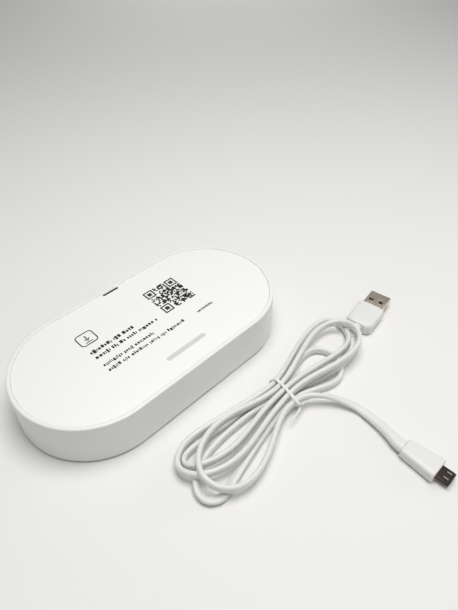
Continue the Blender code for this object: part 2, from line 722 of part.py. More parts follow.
def make_reset():
    """The small rear button and the switch behind it, both sliding along Y."""
    face = HUB_WIDTH / 2 - RESET_SUNK
    flange_face = INNER_Y - GAP
    flange_back = flange_face - RESET_FLANGE
    length = face - flange_back
    profile = [
        (0.0, length),
        (RESET_RADIUS * 0.85, length),
        (RESET_RADIUS, length - RESET_RADIUS * 0.15),
        (RESET_RADIUS, RESET_FLANGE),
        (RESET_FLANGE_RADIUS, RESET_FLANGE),
        (RESET_FLANGE_RADIUS, 0.0),
        (0.0, 0.0),
    ]
    lean = -math.pi / 2
    button = turned("reset_button", profile, (RESET_X, flange_back, RESET_Z), lean=lean)
    place(button, WHITE_PLASTIC)
    tip = flange_back - GAP
    body_front = tip - RESET_PLUNGER_REACH
    low = (RESET_X - RESET_BODY[0] / 2, body_front - RESET_BODY[1], ON_BOARD)
    high = (RESET_X + RESET_BODY[0] / 2, body_front, ON_BOARD + RESET_BODY[2])
    body = grown_block("reset_switch", low, high)
    socket_end = body_front - RESET_SOCKET_DEPTH
    start = (RESET_X, socket_end, RESET_Z)
    end = (RESET_X, body_front + JOIN, RESET_Z)
    cut(body, rod("reset_socket", RESET_PLUNGER_RADIUS + GAP, start, end))
    place(body, BLACK_PLASTIC)
    back = socket_end + RESET_TRAVEL + GAP
    length = tip - back
    radius = RESET_PLUNGER_RADIUS
    profile = [(0.0, length), (radius, length), (radius, 0.0), (0.0, 0.0)]
    plunger = turned("reset_plunger", profile, (RESET_X, back, RESET_Z), lean=lean)
    place(plunger, BLACK_PLASTIC)


def make_antennas():
    """A quarter wave wire on the board, and a film antenna on the front wall with its coaxial lead."""
    y = BOARD_FRONT + WIRE_FRONT_INSET
    low = ON_BOARD + GAP
    high = ON_BOARD + WIRE_HEIGHT
    bend = 3 * WIRE_RADIUS
    x = BOARD_LENGTH / 2 - WIRE_END_INSET
    route = [
        (-x, y, low),
        (-x, y, high - bend),
        (-x + bend * 0.3, y, high - bend * 0.3),
        (-x + bend, y, high),
        (0.0, y, high),
        (x, y, high),
    ]
    place(tube("antenna_wire", route, WIRE_RADIUS, steps=2), COPPER_WIRE)
    wall_y = -INNER_Y + GAP
    low = (-STRIP_LENGTH / 2, wall_y, STRIP_BOTTOM)
    high = (STRIP_LENGTH / 2, wall_y + STRIP_THICKNESS, STRIP_BOTTOM + STRIP_HEIGHT)
    place(grown_block("film_antenna", low, high), AMBER_FILM)
    x, y = board_place(*COAX_PLUG)
    height = COAX_PLUG_HEIGHT
    profile = [(0.0, height), (COAX_PLUG_RADIUS, height), (COAX_PLUG_RADIUS, 0.0), (0.0, 0.0)]
    place(turned("coax_plug", profile, (x, y, ON_BOARD), steps=16), GOLD_CONTACT)
    top = ON_BOARD + height + GAP
    start_y = wall_y + STRIP_THICKNESS + GAP + COAX_RADIUS
    middle_z = STRIP_BOTTOM + STRIP_HEIGHT / 2
    rise = 2 * COAX_RADIUS
    route = [
        (x, y, top),
        (x, y, top + rise),
        (x, (y + start_y) / 2, top + rise),
        (x, start_y + rise, top + rise / 2),
        (x, start_y, middle_z + rise / 2),
        (x, start_y, middle_z - rise / 2),
    ]
    place(tube("antenna_coax", route, COAX_RADIUS), BLACK_PLASTIC)


# ---- USB lead ----


def plug_frame(name, rear, heading, height):
    """An empty at the middle of a grip's rear face, its +X along the plug towards its mouth."""
    empty = bpy.data.objects.new(name, None)
    hub_collection.objects.link(empty)
    empty.location = (*rear, height)
    empty.rotation_euler = (0.0, 0.0, heading)
    return empty


def make_grip(name, frame, size, corner, rounding, shell, wall_seat):
    """A moulded grip with a pocket in its front face that holds the shell's rear end."""
    length, width, height = size
    outline = rounded_rectangle(length, width, corner, (length / 2, 0.0))
    grip = slab(name, [outline], -height / 2, height / 2, rounding)
    pocket = (2 * (wall_seat + GAP), shell[1] + 2 * GAP, shell[2] + 2 * GAP)
    cutter = block(f"{name}_pocket", pocket, (length, 0.0, 0.0))
    cut(grip, cutter)
    cutter.parent = frame
    place(grip, LEAD_PLASTIC, frame)


def make_shell(name, frame, grip_length, shell, wall, seat, windows, material):
    """A rectangular steel tube. windows are (x, y, length, width) holes through its top face."""
    exposed, width, height = shell
    length = exposed + seat
    centre = (grip_length - seat + length / 2, 0.0, 0.0)
    tube_body = block(name, (length, width, height), centre)
    inner = (length + 2 * JOIN, width - 2 * wall, height - 2 * wall)
    cutters = [block(f"{name}_inside", inner, centre)]
    for i, (x, y, along, across) in enumerate(windows):
        spot = (grip_length + x, y, height / 2)
        cutters.append(block(f"{name}_window_{i}", (along, across, 3 * wall), spot))
    for cutter in cutters:
        cut(tube_body, cutter)
        cutter.parent = frame
    place(tube_body, material, frame)


def make_large_plug():
    height = USB_GRIP[2] / 2
    frame = plug_frame("usb_plug_frame", USB_REAR, USB_HEADING, height)
    make_grip(
        "usb_grip",
        frame,
        USB_GRIP,
        USB_GRIP_CORNER,
        USB_GRIP_ROUND,
        USB_SHELL,
        USB_SHELL_SEAT,
    )
    windows = [
        (USB_WINDOW_FROM_GRIP, side * USB_WINDOW_SPREAD, USB_WINDOW, USB_WINDOW)
        for side in (1, -1)
    ]
    make_shell(
        "usb_shell",
        frame,
        USB_GRIP[0],
        USB_SHELL,
        USB_SHELL_WALL,
        USB_SHELL_SEAT,
        windows,
        NICKEL_STEEL,
    )
    low_z = -USB_SHELL[2] / 2 + USB_SHELL_WALL + GAP
    half = USB_SHELL[1] / 2 - USB_SHELL_WALL - GAP
    start = USB_GRIP[0] - USB_SHELL_SEAT
    end = USB_GRIP[0] + USB_SHELL[0] - 2 * GAP
    top_z = low_z + USB_TONGUE_THICKNESS
    tongue = grown_block("usb_tongue", (start, -half, low_z), (end, half, top_z))
    place(tongue, BLACK_PLASTIC, frame)
    for i in range(4):
        y = (i - 1.5) * USB_CONTACT_PITCH
        centre = (end - USB_CONTACT[0] / 2 - GAP, y, top_z + LENS_GAP + USB_CONTACT[2] / 2)
        contact = block(f"usb_contact_{i + 1}", USB_CONTACT, centre)
        place(contact, GOLD_CONTACT, frame)
    place(flat_cable("usb_boot", USB_BOOT_ROUTE, USB_BOOT_SECTIONS), LEAD_PLASTIC)


def make_small_plug():
    height = MICRO_GRIP[2] / 2
    frame = plug_frame("micro_plug_frame", MICRO_REAR, MICRO_HEADING, height)
    make_grip(
        "micro_grip",
        frame,
        MICRO_GRIP,
        MICRO_GRIP_CORNER,
        MICRO_GRIP_ROUND,
        MICRO_SHELL,
        MICRO_SHELL_SEAT,
    )
    along = LATCH[0] + 2 * LATCH_CLEARANCE
    across = LATCH[1] + 2 * LATCH_CLEARANCE
    windows = [(LATCH_FROM_GRIP, side * LATCH_SPREAD, along, across) for side in (1, -1)]
    make_shell(
        "micro_shell",
        frame,
        MICRO_GRIP[0],
        MICRO_SHELL,
        MICRO_SHELL_WALL,
        MICRO_SHELL_SEAT,
        windows,
        BLACK_STEEL,
    )
    half = MICRO_TONGUE_THICKNESS / 2
    width = MICRO_SHELL[1] / 2 - MICRO_SHELL_WALL - GAP
    start = MICRO_GRIP[0] - MICRO_SHELL_SEAT
    end = MICRO_GRIP[0] + MICRO_SHELL[0] - 2 * GAP
    tongue = grown_block("micro_tongue", (start, -width, -half), (end, width, half))
    place(tongue, BLACK_PLASTIC, frame)
    for i, side in enumerate((1, -1)):
        bottom = half + LATCH_CLEARANCE
        top = MICRO_SHELL[2] / 2 + LATCH[2]
        x = MICRO_GRIP[0] + LATCH_FROM_GRIP
        low = (x - LATCH[0] / 2, side * LATCH_SPREAD - LATCH[1] / 2, bottom)
        high = (x + LATCH[0] / 2, side * LATCH_SPREAD + LATCH[1] / 2, top)
        place(grown_block(f"micro_latch_{i + 1}", low, high), NICKEL_STEEL, frame)
    place(flat_cable("micro_boot", MICRO_BOOT_ROUTE, MICRO_BOOT_SECTIONS), LEAD_PLASTIC)


def lobe_outline(lobe, waist_x, steps=14):
    """A round end that narrows to the tied waist."""
    x, y, radius = lobe
    side = math.copysign(1.0, x - waist_x)
    slope = math.degrees(math.asin((radius - HANK_WAIST_WIDTH / 2) / abs(x - waist_x)))
    if side > 0:
        round_end = arc((x, y), radius, -90 - slope, 90 + slope, steps)
    else:
        round_end = arc((x, y), radius, 90 - slope, 270 + slope, steps)
    high, low = HANK_WAIST_Y + HANK_WAIST_WIDTH / 2, HANK_WAIST_Y - HANK_WAIST_WIDTH / 2
    if side > 0:
        return [*round_end, (waist_x, high), (waist_x, low)]
    return [*round_end, (waist_x, low), (waist_x, high)]


def make_hank():
    """The folded middle of the lead as one closed solid, with the wire tie round its waist."""
    room = TIE_WIDTH / 2 + GAP
    far = lobe_outline(HANK_FAR_LOBE, HANK_WAIST_X + room)
    near = lobe_outline(HANK_NEAR_LOBE, HANK_WAIST_X - room)
    hank = slab("lead_hank", [far], 0.0, HANK_HEIGHT)
    join(hank, slab("near_lobe", [near], 0.0, HANK_HEIGHT))
    half = HANK_WAIST_WIDTH / 2 - TIE_THICKNESS
    low = (HANK_WAIST_X - room - JOIN, HANK_WAIST_Y - half, HANK_WAIST_BOTTOM)
    high = (HANK_WAIST_X + room + JOIN, HANK_WAIST_Y + half, HANK_WAIST_TOP)
    join(hank, grown_block("waist", low, high))
    end = Vector(USB_BOOT_ROUTE[-1])
    way = (Vector(USB_BOOT_ROUTE[-2]) - end).normalized()
    notch_width = USB_BOOT_SECTIONS[0][0] + 2 * BOOT_ROOM
    notch = block("boot_notch", (NOTCH_LENGTH, notch_width, 4 * HANK_HEIGHT), (0, 0, 0))
    notch.rotation_euler = (0.0, 0.0, math.atan2(way.y, way.x))
    notch.location = end + way * (NOTCH_LENGTH / 2 - GAP)
    cut(hank, notch)
    place(hank, LEAD_PLASTIC)
    outer = rounded_rectangle(
        HANK_WAIST_WIDTH + 2 * GAP,
        HANK_WAIST_TOP + GAP + TIE_THICKNESS,
        TIE_CORNER,
    )
    inner = rounded_rectangle(
        HANK_WAIST_WIDTH + 2 * GAP - 2 * TIE_THICKNESS,
        HANK_WAIST_TOP + GAP - TIE_THICKNESS,
        TIE_CORNER - TIE_THICKNESS,
    )
    tie = slab("twist_tie", [outer, inner], -TIE_WIDTH / 2, TIE_WIDTH / 2)
    tie.rotation_euler = (math.pi / 2, 0.0, math.pi / 2)
    middle_z = (HANK_WAIST_TOP + GAP + TIE_THICKNESS) / 2
    tie.location = (HANK_WAIST_X, HANK_WAIST_Y, middle_z)
    place(tie, LEAD_PLASTIC)


def make_lead():
    """The end of the cable on its own: on edge as it leaves the hank, flat at the plug."""
    cable = flat_cable("lead_tube", LEAD_ROUTE, (CORD_SECTION, CORD_SECTION), on_edge=90.0)
    place(cable, LEAD_PLASTIC)


make_housing()
make_face()
make_base()
make_board()
make_keys()
make_light()
make_socket()
make_reset()
make_antennas()
make_large_plug()
make_small_plug()
make_hank()
make_lead()
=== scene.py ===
"""Smart home hub and its USB lead: the finished surfaces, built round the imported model."""

import math
import random

import bmesh
import bpy
from mathutils import Matrix, Vector


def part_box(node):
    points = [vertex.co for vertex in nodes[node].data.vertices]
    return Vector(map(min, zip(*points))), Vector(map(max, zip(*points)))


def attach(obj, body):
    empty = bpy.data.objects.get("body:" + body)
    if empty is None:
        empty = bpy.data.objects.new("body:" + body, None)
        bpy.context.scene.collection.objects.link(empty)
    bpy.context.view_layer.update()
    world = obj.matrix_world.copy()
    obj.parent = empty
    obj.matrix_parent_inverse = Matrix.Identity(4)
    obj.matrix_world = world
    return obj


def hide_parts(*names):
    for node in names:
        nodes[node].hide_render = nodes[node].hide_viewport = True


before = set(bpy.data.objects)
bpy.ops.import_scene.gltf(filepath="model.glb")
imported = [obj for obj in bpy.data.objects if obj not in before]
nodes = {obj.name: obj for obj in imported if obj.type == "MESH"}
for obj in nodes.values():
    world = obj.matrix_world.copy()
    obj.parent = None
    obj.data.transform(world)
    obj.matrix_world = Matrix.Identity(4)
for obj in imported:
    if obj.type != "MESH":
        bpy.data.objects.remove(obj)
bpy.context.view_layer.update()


# ---- Studio: camera, table and lights ----
# The hub stands on white card under one broad soft light overhead, so the face is the
# brightest surface and its sides fall into a soft grey. A weak light from the right and a
# narrow one on the card far behind keep both from going dark.

CAMERA_PLACE = Vector((-0.10935, -0.16248, 0.21477))
CAMERA_RIGHT = Vector((0.70085, -0.71331, 0.0))
CAMERA_UP = Vector((0.48482, 0.47636, 0.73351))
CAMERA_LENS = 31.87

camera_data = bpy.data.cameras.new("camera")
camera_data.lens = CAMERA_LENS
camera_data.sensor_width = 36.0
camera_data.clip_start = 0.005
camera = bpy.data.objects.new("camera", camera_data)
bpy.context.scene.collection.objects.link(camera)
camera_back = CAMERA_RIGHT.cross(CAMERA_UP).normalized()
camera_turn = Matrix((CAMERA_RIGHT, CAMERA_UP, camera_back)).transposed()
camera.matrix_world = Matrix.Translation(CAMERA_PLACE) @ camera_turn.to_4x4()
bpy.context.scene.camera = camera


def add_object(name, mesh):
    obj = bpy.data.objects.new(name, mesh)
    bpy.context.scene.collection.objects.link(obj)
    return obj


def add_light(name, place, target, size, power, colour):
    light = bpy.data.lights.new(name, "AREA")
    light.shape = "DISK"
    light.size = size
    light.energy = power
    light.color = colour
    lamp = bpy.data.objects.new(name, light)
    bpy.context.scene.collection.objects.link(lamp)
    lamp.location = place
    lamp.rotation_euler = (Vector(target) - Vector(place)).to_track_quat("-Z", "Y").to_euler()
    return lamp


def start_material(name, base, roughness, metallic=0.0):
    """A new material and its Principled shader, with plain values set on its sockets."""
    material = bpy.data.materials.new(name)
    material.use_nodes = True
    shader = material.node_tree.nodes["Principled BSDF"]
    shader.inputs["Base Color"].default_value = (*base, 1.0)
    shader.inputs["Roughness"].default_value = roughness
    shader.inputs["Metallic"].default_value = metallic
    return material, shader


def make_table():
    """A level sheet of card, its edge far off."""
    bm = bmesh.new()
    reach = 8.0
    corners = ((-reach, -reach), (reach, -reach), (reach, reach), (-reach, reach))
    bm.faces.new([bm.verts.new((x, y, 0.0)) for x, y in corners])
    mesh = bpy.data.meshes.new("table")
    bm.to_mesh(mesh)
    bm.free()
    table = add_object("table", mesh)
    material, shader = start_material("white_card", (0.785, 0.78, 0.77), 0.7)
    tree = material.node_tree
    fibres = tree.nodes.new("ShaderNodeTexNoise")
    fibres.inputs["Scale"].default_value = 900.0
    fibres.inputs["Detail"].default_value = 4.0
    bump = tree.nodes.new("ShaderNodeBump")
    bump.inputs["Strength"].default_value = 0.04
    bump.inputs["Distance"].default_value = 0.0002
    tree.links.new(fibres.outputs["Fac"], bump.inputs["Height"])
    tree.links.new(bump.outputs["Normal"], shader.inputs["Normal"])
    mesh.materials.append(material)


make_table()
add_light(
    "softbox",
    place=(0.04, -0.08, 0.62),
    target=(0.02, -0.02, 0.0),
    size=0.45,
    power=3.40,
    colour=(1.0, 0.995, 0.985),
)
add_light(
    "side_fill",
    place=(0.62, -0.36, 0.30),
    target=(0.0, 0.0, 0.0),
    size=0.30,
    power=0.60,
    colour=(1.0, 0.99, 0.98),
)
backdrop_lamp = add_light(
    "backdrop_light",
    place=(0.66, 0.62, 0.70),
    target=(0.62, 0.58, 0.0),
    size=0.50,
    power=0.36,
    colour=(1.0, 0.985, 0.985),
)
backdrop_lamp.data.spread = math.radians(70)

world = bpy.data.worlds.new("studio")
world.use_nodes = True
world.node_tree.nodes["Background"].inputs["Color"].default_value = (0.92, 0.93, 0.92, 1.0)
world.node_tree.nodes["Background"].inputs["Strength"].default_value = 0.30
bpy.context.scene.world = world
bpy.context.scene.view_settings.view_transform = "Standard"


# ---- Lead: one flat white cable, bundled in a tied hank ----
# Soft white PVC over the cores laid side by side, about a metre of it. It stands on its edge
# round the turns of the hank, and twists over to lie flat where it reaches each plug.

CORD_WIDTH = 0.0044
CORD_THICKNESS = 0.0025
LEAD_ROUTE = [  # millimetres
    # out of the large plug's boot and under the tie
    (82.2, -69.2, 3.2), (78.5, -71.8, 2.6), (73.0, -74.2, 3.4), (65.0, -76.2, 5.2),
    (56.0, -75.4, 4.4), (47.0, -72.6, 2.4), (37.0, -69.0, 1.8), (26.5, -66.2, 1.8),
    # first near turn
    (17.0, -63.0, 1.8), (8.0, -61.9, 1.8), (-2.0, -61.6, 1.8), (-12.0, -61.4, 1.8),
    (-21.0, -62.4, 1.8), (-29.0, -64.8, 1.8), (-35.4, -68.6, 1.8), (-38.4, -74.5, 1.8),
    (-37.8, -79.6, 1.8), (-34.0, -82.8, 1.8), (-29.0, -82.6, 1.8), (-24.0, -80.2, 1.8),
    (-17.0, -78.8, 1.8), (-9.0, -77.0, 1.8), (1.5, -75.0, 1.8), (14.0, -72.4, 1.8),
    (26.5, -70.2, 1.8),
    # first far turn, lying on the table
    (33.5, -71.7, 1.8), (41.0, -75.0, 1.8), (47.5, -78.4, 1.8), (53.5, -80.0, 1.8),
    (59.0, -78.4, 1.8), (63.6, -74.4, 1.8), (66.2, -69.0, 1.8), (66.2, -63.2, 1.8),
    (63.4, -58.2, 1.8), (58.2, -56.2, 1.8), (52.0, -56.6, 1.8), (44.0, -58.6, 1.8),
    (35.0, -60.6, 1.8), (26.5, -62.4, 1.8),
    # second near turn, climbing onto the first
    (17.0, -59.2, 1.8), (5.0, -58.4, 1.8), (-6.0, -58.0, 1.8), (-17.0, -56.6, 1.8),
    (-26.0, -55.4, 1.8), (-31.4, -56.6, 1.9), (-33.2, -60.0, 2.6), (-32.4, -63.8, 4.2),
    (-27.5, -67.2, 5.2), (-20.0, -69.8, 5.2), (-12.0, -70.7, 5.2), (-3.0, -69.4, 5.2),
    (7.0, -67.3, 5.2), (17.0, -65.6, 5.2), (26.5, -66.0, 5.2),
    # second far turn, round behind the large plug's grip
    (34.0, -65.2, 5.2), (42.0, -66.2, 5.2), (50.5, -67.7, 5.2), (59.0, -69.1, 5.2),
    (67.0, -70.2, 5.0), (74.5, -69.7, 4.2), (80.5, -67.4, 3.3), (84.6, -63.6, 2.6),
    (86.9, -58.4, 2.0), (88.2, -53.6, 1.8), (86.0, -48.6, 1.8), (80.0, -46.6, 1.8),
    (72.0, -46.8, 1.8), (64.0, -48.2, 1.8), (56.0, -50.6, 1.8), (48.0, -53.3, 2.2),
    (40.0, -55.9, 3.0), (33.0, -58.0, 4.0), (26.5, -59.8, 4.6),
    # third near turn
    (18.0, -58.6, 4.4), (8.0, -56.8, 4.2), (-2.0, -55.2, 4.0), (-12.0, -53.4, 3.8),
    (-21.0, -51.8, 3.6), (-29.0, -52.6, 3.4), (-34.6, -56.0, 3.6), (-37.2, -61.0, 4.2),
    (-36.0, -66.2, 4.8), (-31.0, -71.0, 5.2), (-24.5, -74.5, 5.2), (-16.0, -75.8, 5.2),
    (-7.0, -75.2, 5.2), (3.0, -73.0, 5.2), (13.0, -70.4, 5.2), (26.5, -69.2, 5.2),
    # third far turn, over the boot
    (34.0, -69.0, 5.8), (41.5, -70.7, 6.9), (49.0, -73.4, 8.0), (57.0, -75.7, 8.7),
    (66.0, -76.6, 8.8), (74.5, -76.2, 8.7), (81.0, -73.5, 8.4), (85.4, -68.4, 8.1),
    (87.1, -62.4, 7.3), (85.4, -57.0, 6.3), (80.4, -53.0, 5.5), (72.5, -51.5, 5.2),
    (64.0, -52.7, 5.2), (55.0, -55.3, 5.2), (45.0, -58.4, 5.2), (35.0, -61.6, 5.2),
    (26.5, -63.1, 5.2),
    # last near turn, over the others and out on its own
    (17.0, -62.2, 5.2), (8.0, -59.4, 5.2), (-1.0, -57.0, 5.2), (-9.5, -56.0, 5.3),
    (-18.0, -57.4, 5.6), (-25.5, -61.2, 6.6), (-31.2, -66.4, 8.2), (-34.0, -72.6, 8.4),
    (-32.8, -78.4, 6.4), (-28.6, -84.0, 5.2), (-22.0, -86.9, 5.0), (-14.5, -86.8, 4.4),
    (-6.0, -84.4, 4.2), (3.0, -80.4, 4.2), (11.0, -76.0, 4.4), (18.5, -73.0, 4.6),
    (26.5, -73.4, 4.6),
    # out to the small plug's boot
    (31.2, -74.9, 5.3), (34.2, -77.1, 5.8), (38.2, -81.0, 5.4), (41.8, -85.6, 4.4),
    (44.5, -91.5, 3.2), (45.7, -97.1, 2.4), (45.7, -100.7, 2.3),
]


def smooth_route(points, steps):
    """A smooth curve through the points, spaced so that it never overshoots on a tight turn."""
    ends = [2 * points[0] - points[1], *points, 2 * points[-1] - points[-2]]
    curve = []
    for p0, p1, p2, p3 in zip(ends, ends[1:], ends[2:], ends[3:]):
        t1 = math.sqrt((p1 - p0).length)
        t2 = t1 + math.sqrt((p2 - p1).length)
        t3 = t2 + math.sqrt((p3 - p2).length)
        for i in range(steps):
            t = t1 + (t2 - t1) * i / steps
            a1 = p0 * ((t1 - t) / t1) + p1 * (t / t1)
            a2 = p1 * ((t2 - t) / (t2 - t1)) + p2 * ((t - t1) / (t2 - t1))
            a3 = p2 * ((t3 - t) / (t3 - t2)) + p3 * ((t - t2) / (t3 - t2))
            b1 = a1 * ((t2 - t) / t2) + a2 * (t / t2)
            b2 = a2 * ((t3 - t) / (t3 - t1)) + a3 * ((t - t1) / (t3 - t1))
            curve.append(b1 * ((t2 - t) / (t2 - t1)) + b2 * ((t - t1) / (t2 - t1)))
    return [*curve, points[-1]]


def relax(points):
    """Evens out the listed points of a route, two at each end staying put."""
    inner = [(a + 2 * b + c) / 4 for a, b, c in zip(points[1:], points[2:], points[3:-1])]
    return [*points[:2], *inner, *points[-2:]]


def skin_rings(name, rings, crisp, closed=False):
    """A smooth mesh through rings of points, capped at both ends or closed into a loop.

    Edges that turn by more than crisp degrees aren't smoothed over.
    """
    bm = bmesh.new()
    made = [[bm.verts.new(point) for point in ring] for ring in rings]
    pairs = list(zip(made, made[1:]))
    if closed:
        pairs.append((made[-1], made[0]))
    for first, second in pairs:
        for k, vertex in enumerate(first):
            after = (k + 1) % len(first)
            bm.faces.new((vertex, first[after], second[after], second[k]))
    if not closed:
        bm.faces.new(made[0])
        bm.faces.new(made[-1])
    bmesh.ops.recalc_face_normals(bm, faces=bm.faces)
    mesh = bpy.data.meshes.new(name)
    bm.to_mesh(mesh)
    bm.free()
    mesh.shade_smooth()
    mesh.set_sharp_from_angle(angle=math.radians(crisp))
    return mesh


def band_mesh(name, line, sizes, turns, steps=6):
    """A closed flat band with round edges along a line.

    It has a (width, thickness) at each point, and an angle up from lying flat.
    """
    rings = []
    last = len(line) - 1
    for i, point in enumerate(line):
        ahead = (line[min(i + 1, last)] - line[max(i - 1, 0)]).normalized()
        side = ahead.cross(Vector((0, 0, 1))).normalized()
        wide = side * math.cos(turns[i]) + side.cross(ahead) * math.sin(turns[i])
        thin = ahead.cross(wide)
        width, thickness = sizes[i]
        ring = []
        for end, start in ((1, -90), (-1, 90)):
            for k in range(steps + 1):
                angle = math.radians(start + 180 * k / steps)
                along = end * (width - thickness) / 2 + thickness / 2 * math.cos(angle)
                across = thickness / 2 * math.sin(angle)
                ring.append(point + wide * along + thin * across)
        rings.append(ring)
    return skin_rings(name, rings, 50)


def new_group(name, inputs, outputs):
    """An empty node group with its named sockets; inputs are (name, kind, value)."""
    group = bpy.data.node_groups.new(name, "ShaderNodeTree")
    for socket_name, kind, value in inputs:
        socket = group.interface.new_socket(socket_name, in_out="INPUT", socket_type=kind)
        socket.default_value = value
    for socket_name, kind in outputs:
        group.interface.new_socket(socket_name, in_out="OUTPUT", socket_type=kind)
    return group, group.nodes.new("NodeGroupInput"), group.nodes.new("NodeGroupOutput")


SKIN_OUTPUTS = [
    ("Colour", "NodeSocketColor"),
    ("Roughness", "NodeSocketFloat"),
    ("Height", "NodeSocketFloat"),
]


def make_moulded_skin():
    """Moulded plastic: a spark-eroded grain, patches handled smoother, and a faint uneven tint."""
    group, source, result = new_group(
        "moulded_skin",
        [
            ("Colour", "NodeSocketColor", (0.8, 0.8, 0.8, 1.0)),
            ("Tint", "NodeSocketColor", (0.7, 0.7, 0.65, 1.0)),
            ("Tint Amount", "NodeSocketFloat", 0.1),
            ("Grain Scale", "NodeSocketFloat", 2500.0),
            ("Patch Scale", "NodeSocketFloat", 40.0),
            ("Smoothest", "NodeSocketFloat", 0.4),
            ("Roughest", "NodeSocketFloat", 0.55),
        ],
        SKIN_OUTPUTS,
    )
    links = group.links
    place = group.nodes.new("ShaderNodeTexCoord")
    grain = group.nodes.new("ShaderNodeTexNoise")
    grain.inputs["Detail"].default_value = 3.0
    patches = group.nodes.new("ShaderNodeTexNoise")
    patches.inputs["Detail"].default_value = 5.0
    patches.inputs["Roughness"].default_value = 0.6
    for texture, scale in ((grain, "Grain Scale"), (patches, "Patch Scale")):
        links.new(place.outputs["Object"], texture.inputs["Vector"])
        links.new(source.outputs[scale], texture.inputs["Scale"])
    spread = group.nodes.new("ShaderNodeMapRange")
    spread.inputs["From Min"].default_value = 0.3
    spread.inputs["From Max"].default_value = 0.7
    links.new(patches.outputs["Fac"], spread.inputs["Value"])
    links.new(source.outputs["Smoothest"], spread.inputs["To Min"])
    links.new(source.outputs["Roughest"], spread.inputs["To Max"])
    links.new(spread.outputs["Result"], result.inputs["Roughness"])
    amount = group.nodes.new("ShaderNodeMath")
    amount.operation = "MULTIPLY"
    links.new(patches.outputs["Fac"], amount.inputs[0])
    links.new(source.outputs["Tint Amount"], amount.inputs[1])
    blend = group.nodes.new("ShaderNodeMix")
    blend.data_type = "RGBA"
    links.new(amount.outputs[0], blend.inputs["Factor"])
    links.new(source.outputs["Colour"], blend.inputs[6])
    links.new(source.outputs["Tint"], blend.inputs[7])
    links.new(blend.outputs[2], result.inputs["Colour"])
    links.new(grain.outputs["Fac"], result.inputs["Height"])
    return group


MOULDED_SKIN = make_moulded_skin()


def skinned_material(name, group, values, metallic, strength, relief):
    """A material that takes its colour, roughness and fine relief from a skin group."""
    material, shader = start_material(name, values["Colour"][:3], values["Roughest"], metallic)
    tree = material.node_tree
    skin = tree.nodes.new("ShaderNodeGroup")
    skin.node_tree = group
    for socket, value in values.items():
        skin.inputs[socket].default_value = value
    bump = tree.nodes.new("ShaderNodeBump")
    bump.inputs["Strength"].default_value = strength
    bump.inputs["Distance"].default_value = relief
    tree.links.new(skin.outputs["Colour"], shader.inputs["Base Color"])
    tree.links.new(skin.outputs["Roughness"], shader.inputs["Roughness"])
    tree.links.new(skin.outputs["Height"], bump.inputs["Height"])
    tree.links.new(bump.outputs["Normal"], shader.inputs["Normal"])
    return material


def moulded_plastic(name, colour, tint, smoothest, roughest, grain=2500.0):
    values = {
        "Colour": (*colour, 1.0),
        "Tint": (*tint, 1.0),
        "Tint Amount": 0.12,
        "Grain Scale": grain,
        "Smoothest": smoothest,
        "Roughest": roughest,
    }
    return skinned_material(name, MOULDED_SKIN, values, 0.0, strength=0.5, relief=0.00001)


def set_material(obj, material):
    obj.data.materials.clear()
    obj.data.materials.append(material)


LEAD_WHITE = moulded_plastic(
    "lead_pvc", (0.74, 0.74, 0.72), (0.62, 0.61, 0.57), 0.33, 0.48, 1800.0
)
lead_shader = LEAD_WHITE.node_tree.nodes["Principled BSDF"]
lead_shader.inputs["Subsurface Weight"].default_value = 0.08
lead_shader.inputs["Subsurface Radius"].default_value = (0.0012, 0.0011, 0.0009)

ROUTE_STEPS = 5
FLAT_START, FLAT_END = 4, 7  # route points over which the cable twists up, and back down
LEANING_FROM, LEANING_TO = 13, 22
LEAN = 0.78
DRAWN_LOWEST = 0.0018
LAYER = 0.0034
EDGE_RISE, LAYER_RISE = 0.0004, 0.0008


def cable_turn(index, last):
    """The angle of the cable at a route point.

    It is on edge, except close to the plugs and where the lowest turn leans over.
    """
    share = min(1.0, index / FLAT_START, (last - index) / FLAT_END)
    upright = 3 * share**2 - 2 * share**3
    way = (index - LEANING_FROM) / (LEANING_TO - LEANING_FROM)
    lean = LEAN * math.sin(math.pi * way) if 0 < way < 1 else 0.0
    return math.radians(90) * (upright - lean)


def stand_on_edge(point, turn):
    """A route point drawn for the cable's upper edge, moved to the middle of the cable."""
    raised = math.sin(turn)
    layers = min(max(point.z - DRAWN_LOWEST, 0.0) / LAYER, 1.0)
    middle = point.z + raised * (EDGE_RISE + LAYER_RISE * layers)
    edge = middle + raised * (CORD_WIDTH - CORD_THICKNESS) / 2
    share = (edge - point.z) / (CAMERA_PLACE.z - point.z)
    seen = point.lerp(CAMERA_PLACE, share)
    return Vector((seen.x, seen.y, middle))


drawn = relax([Vector(p) / 1000 for p in LEAD_ROUTE])
last_drawn = len(drawn) - 1
drawn_turns = [cable_turn(i, last_drawn) for i in range(len(drawn))]
route_points = [stand_on_edge(point, turn) for point, turn in zip(drawn, drawn_turns)]
lead_line = smooth_route(route_points, ROUTE_STEPS)
lead_turns = [cable_turn(i / ROUTE_STEPS, last_drawn) for i in range(len(lead_line))]
lead_sizes = [(CORD_WIDTH, CORD_THICKNESS)] * len(lead_line)
lead = add_object("lead", band_mesh("lead", lead_line, lead_sizes, lead_turns))
set_material(lead, LEAD_WHITE)
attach(lead, "root")
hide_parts("lead_hank", "lead_tube")


# ---- Twist tie: a paper-thin white ribbon over a steel wire ----
# It is wrapped once round the waist of the hank. Its short end is hooked over at the rear, and
# its long end is bent out flat in front.

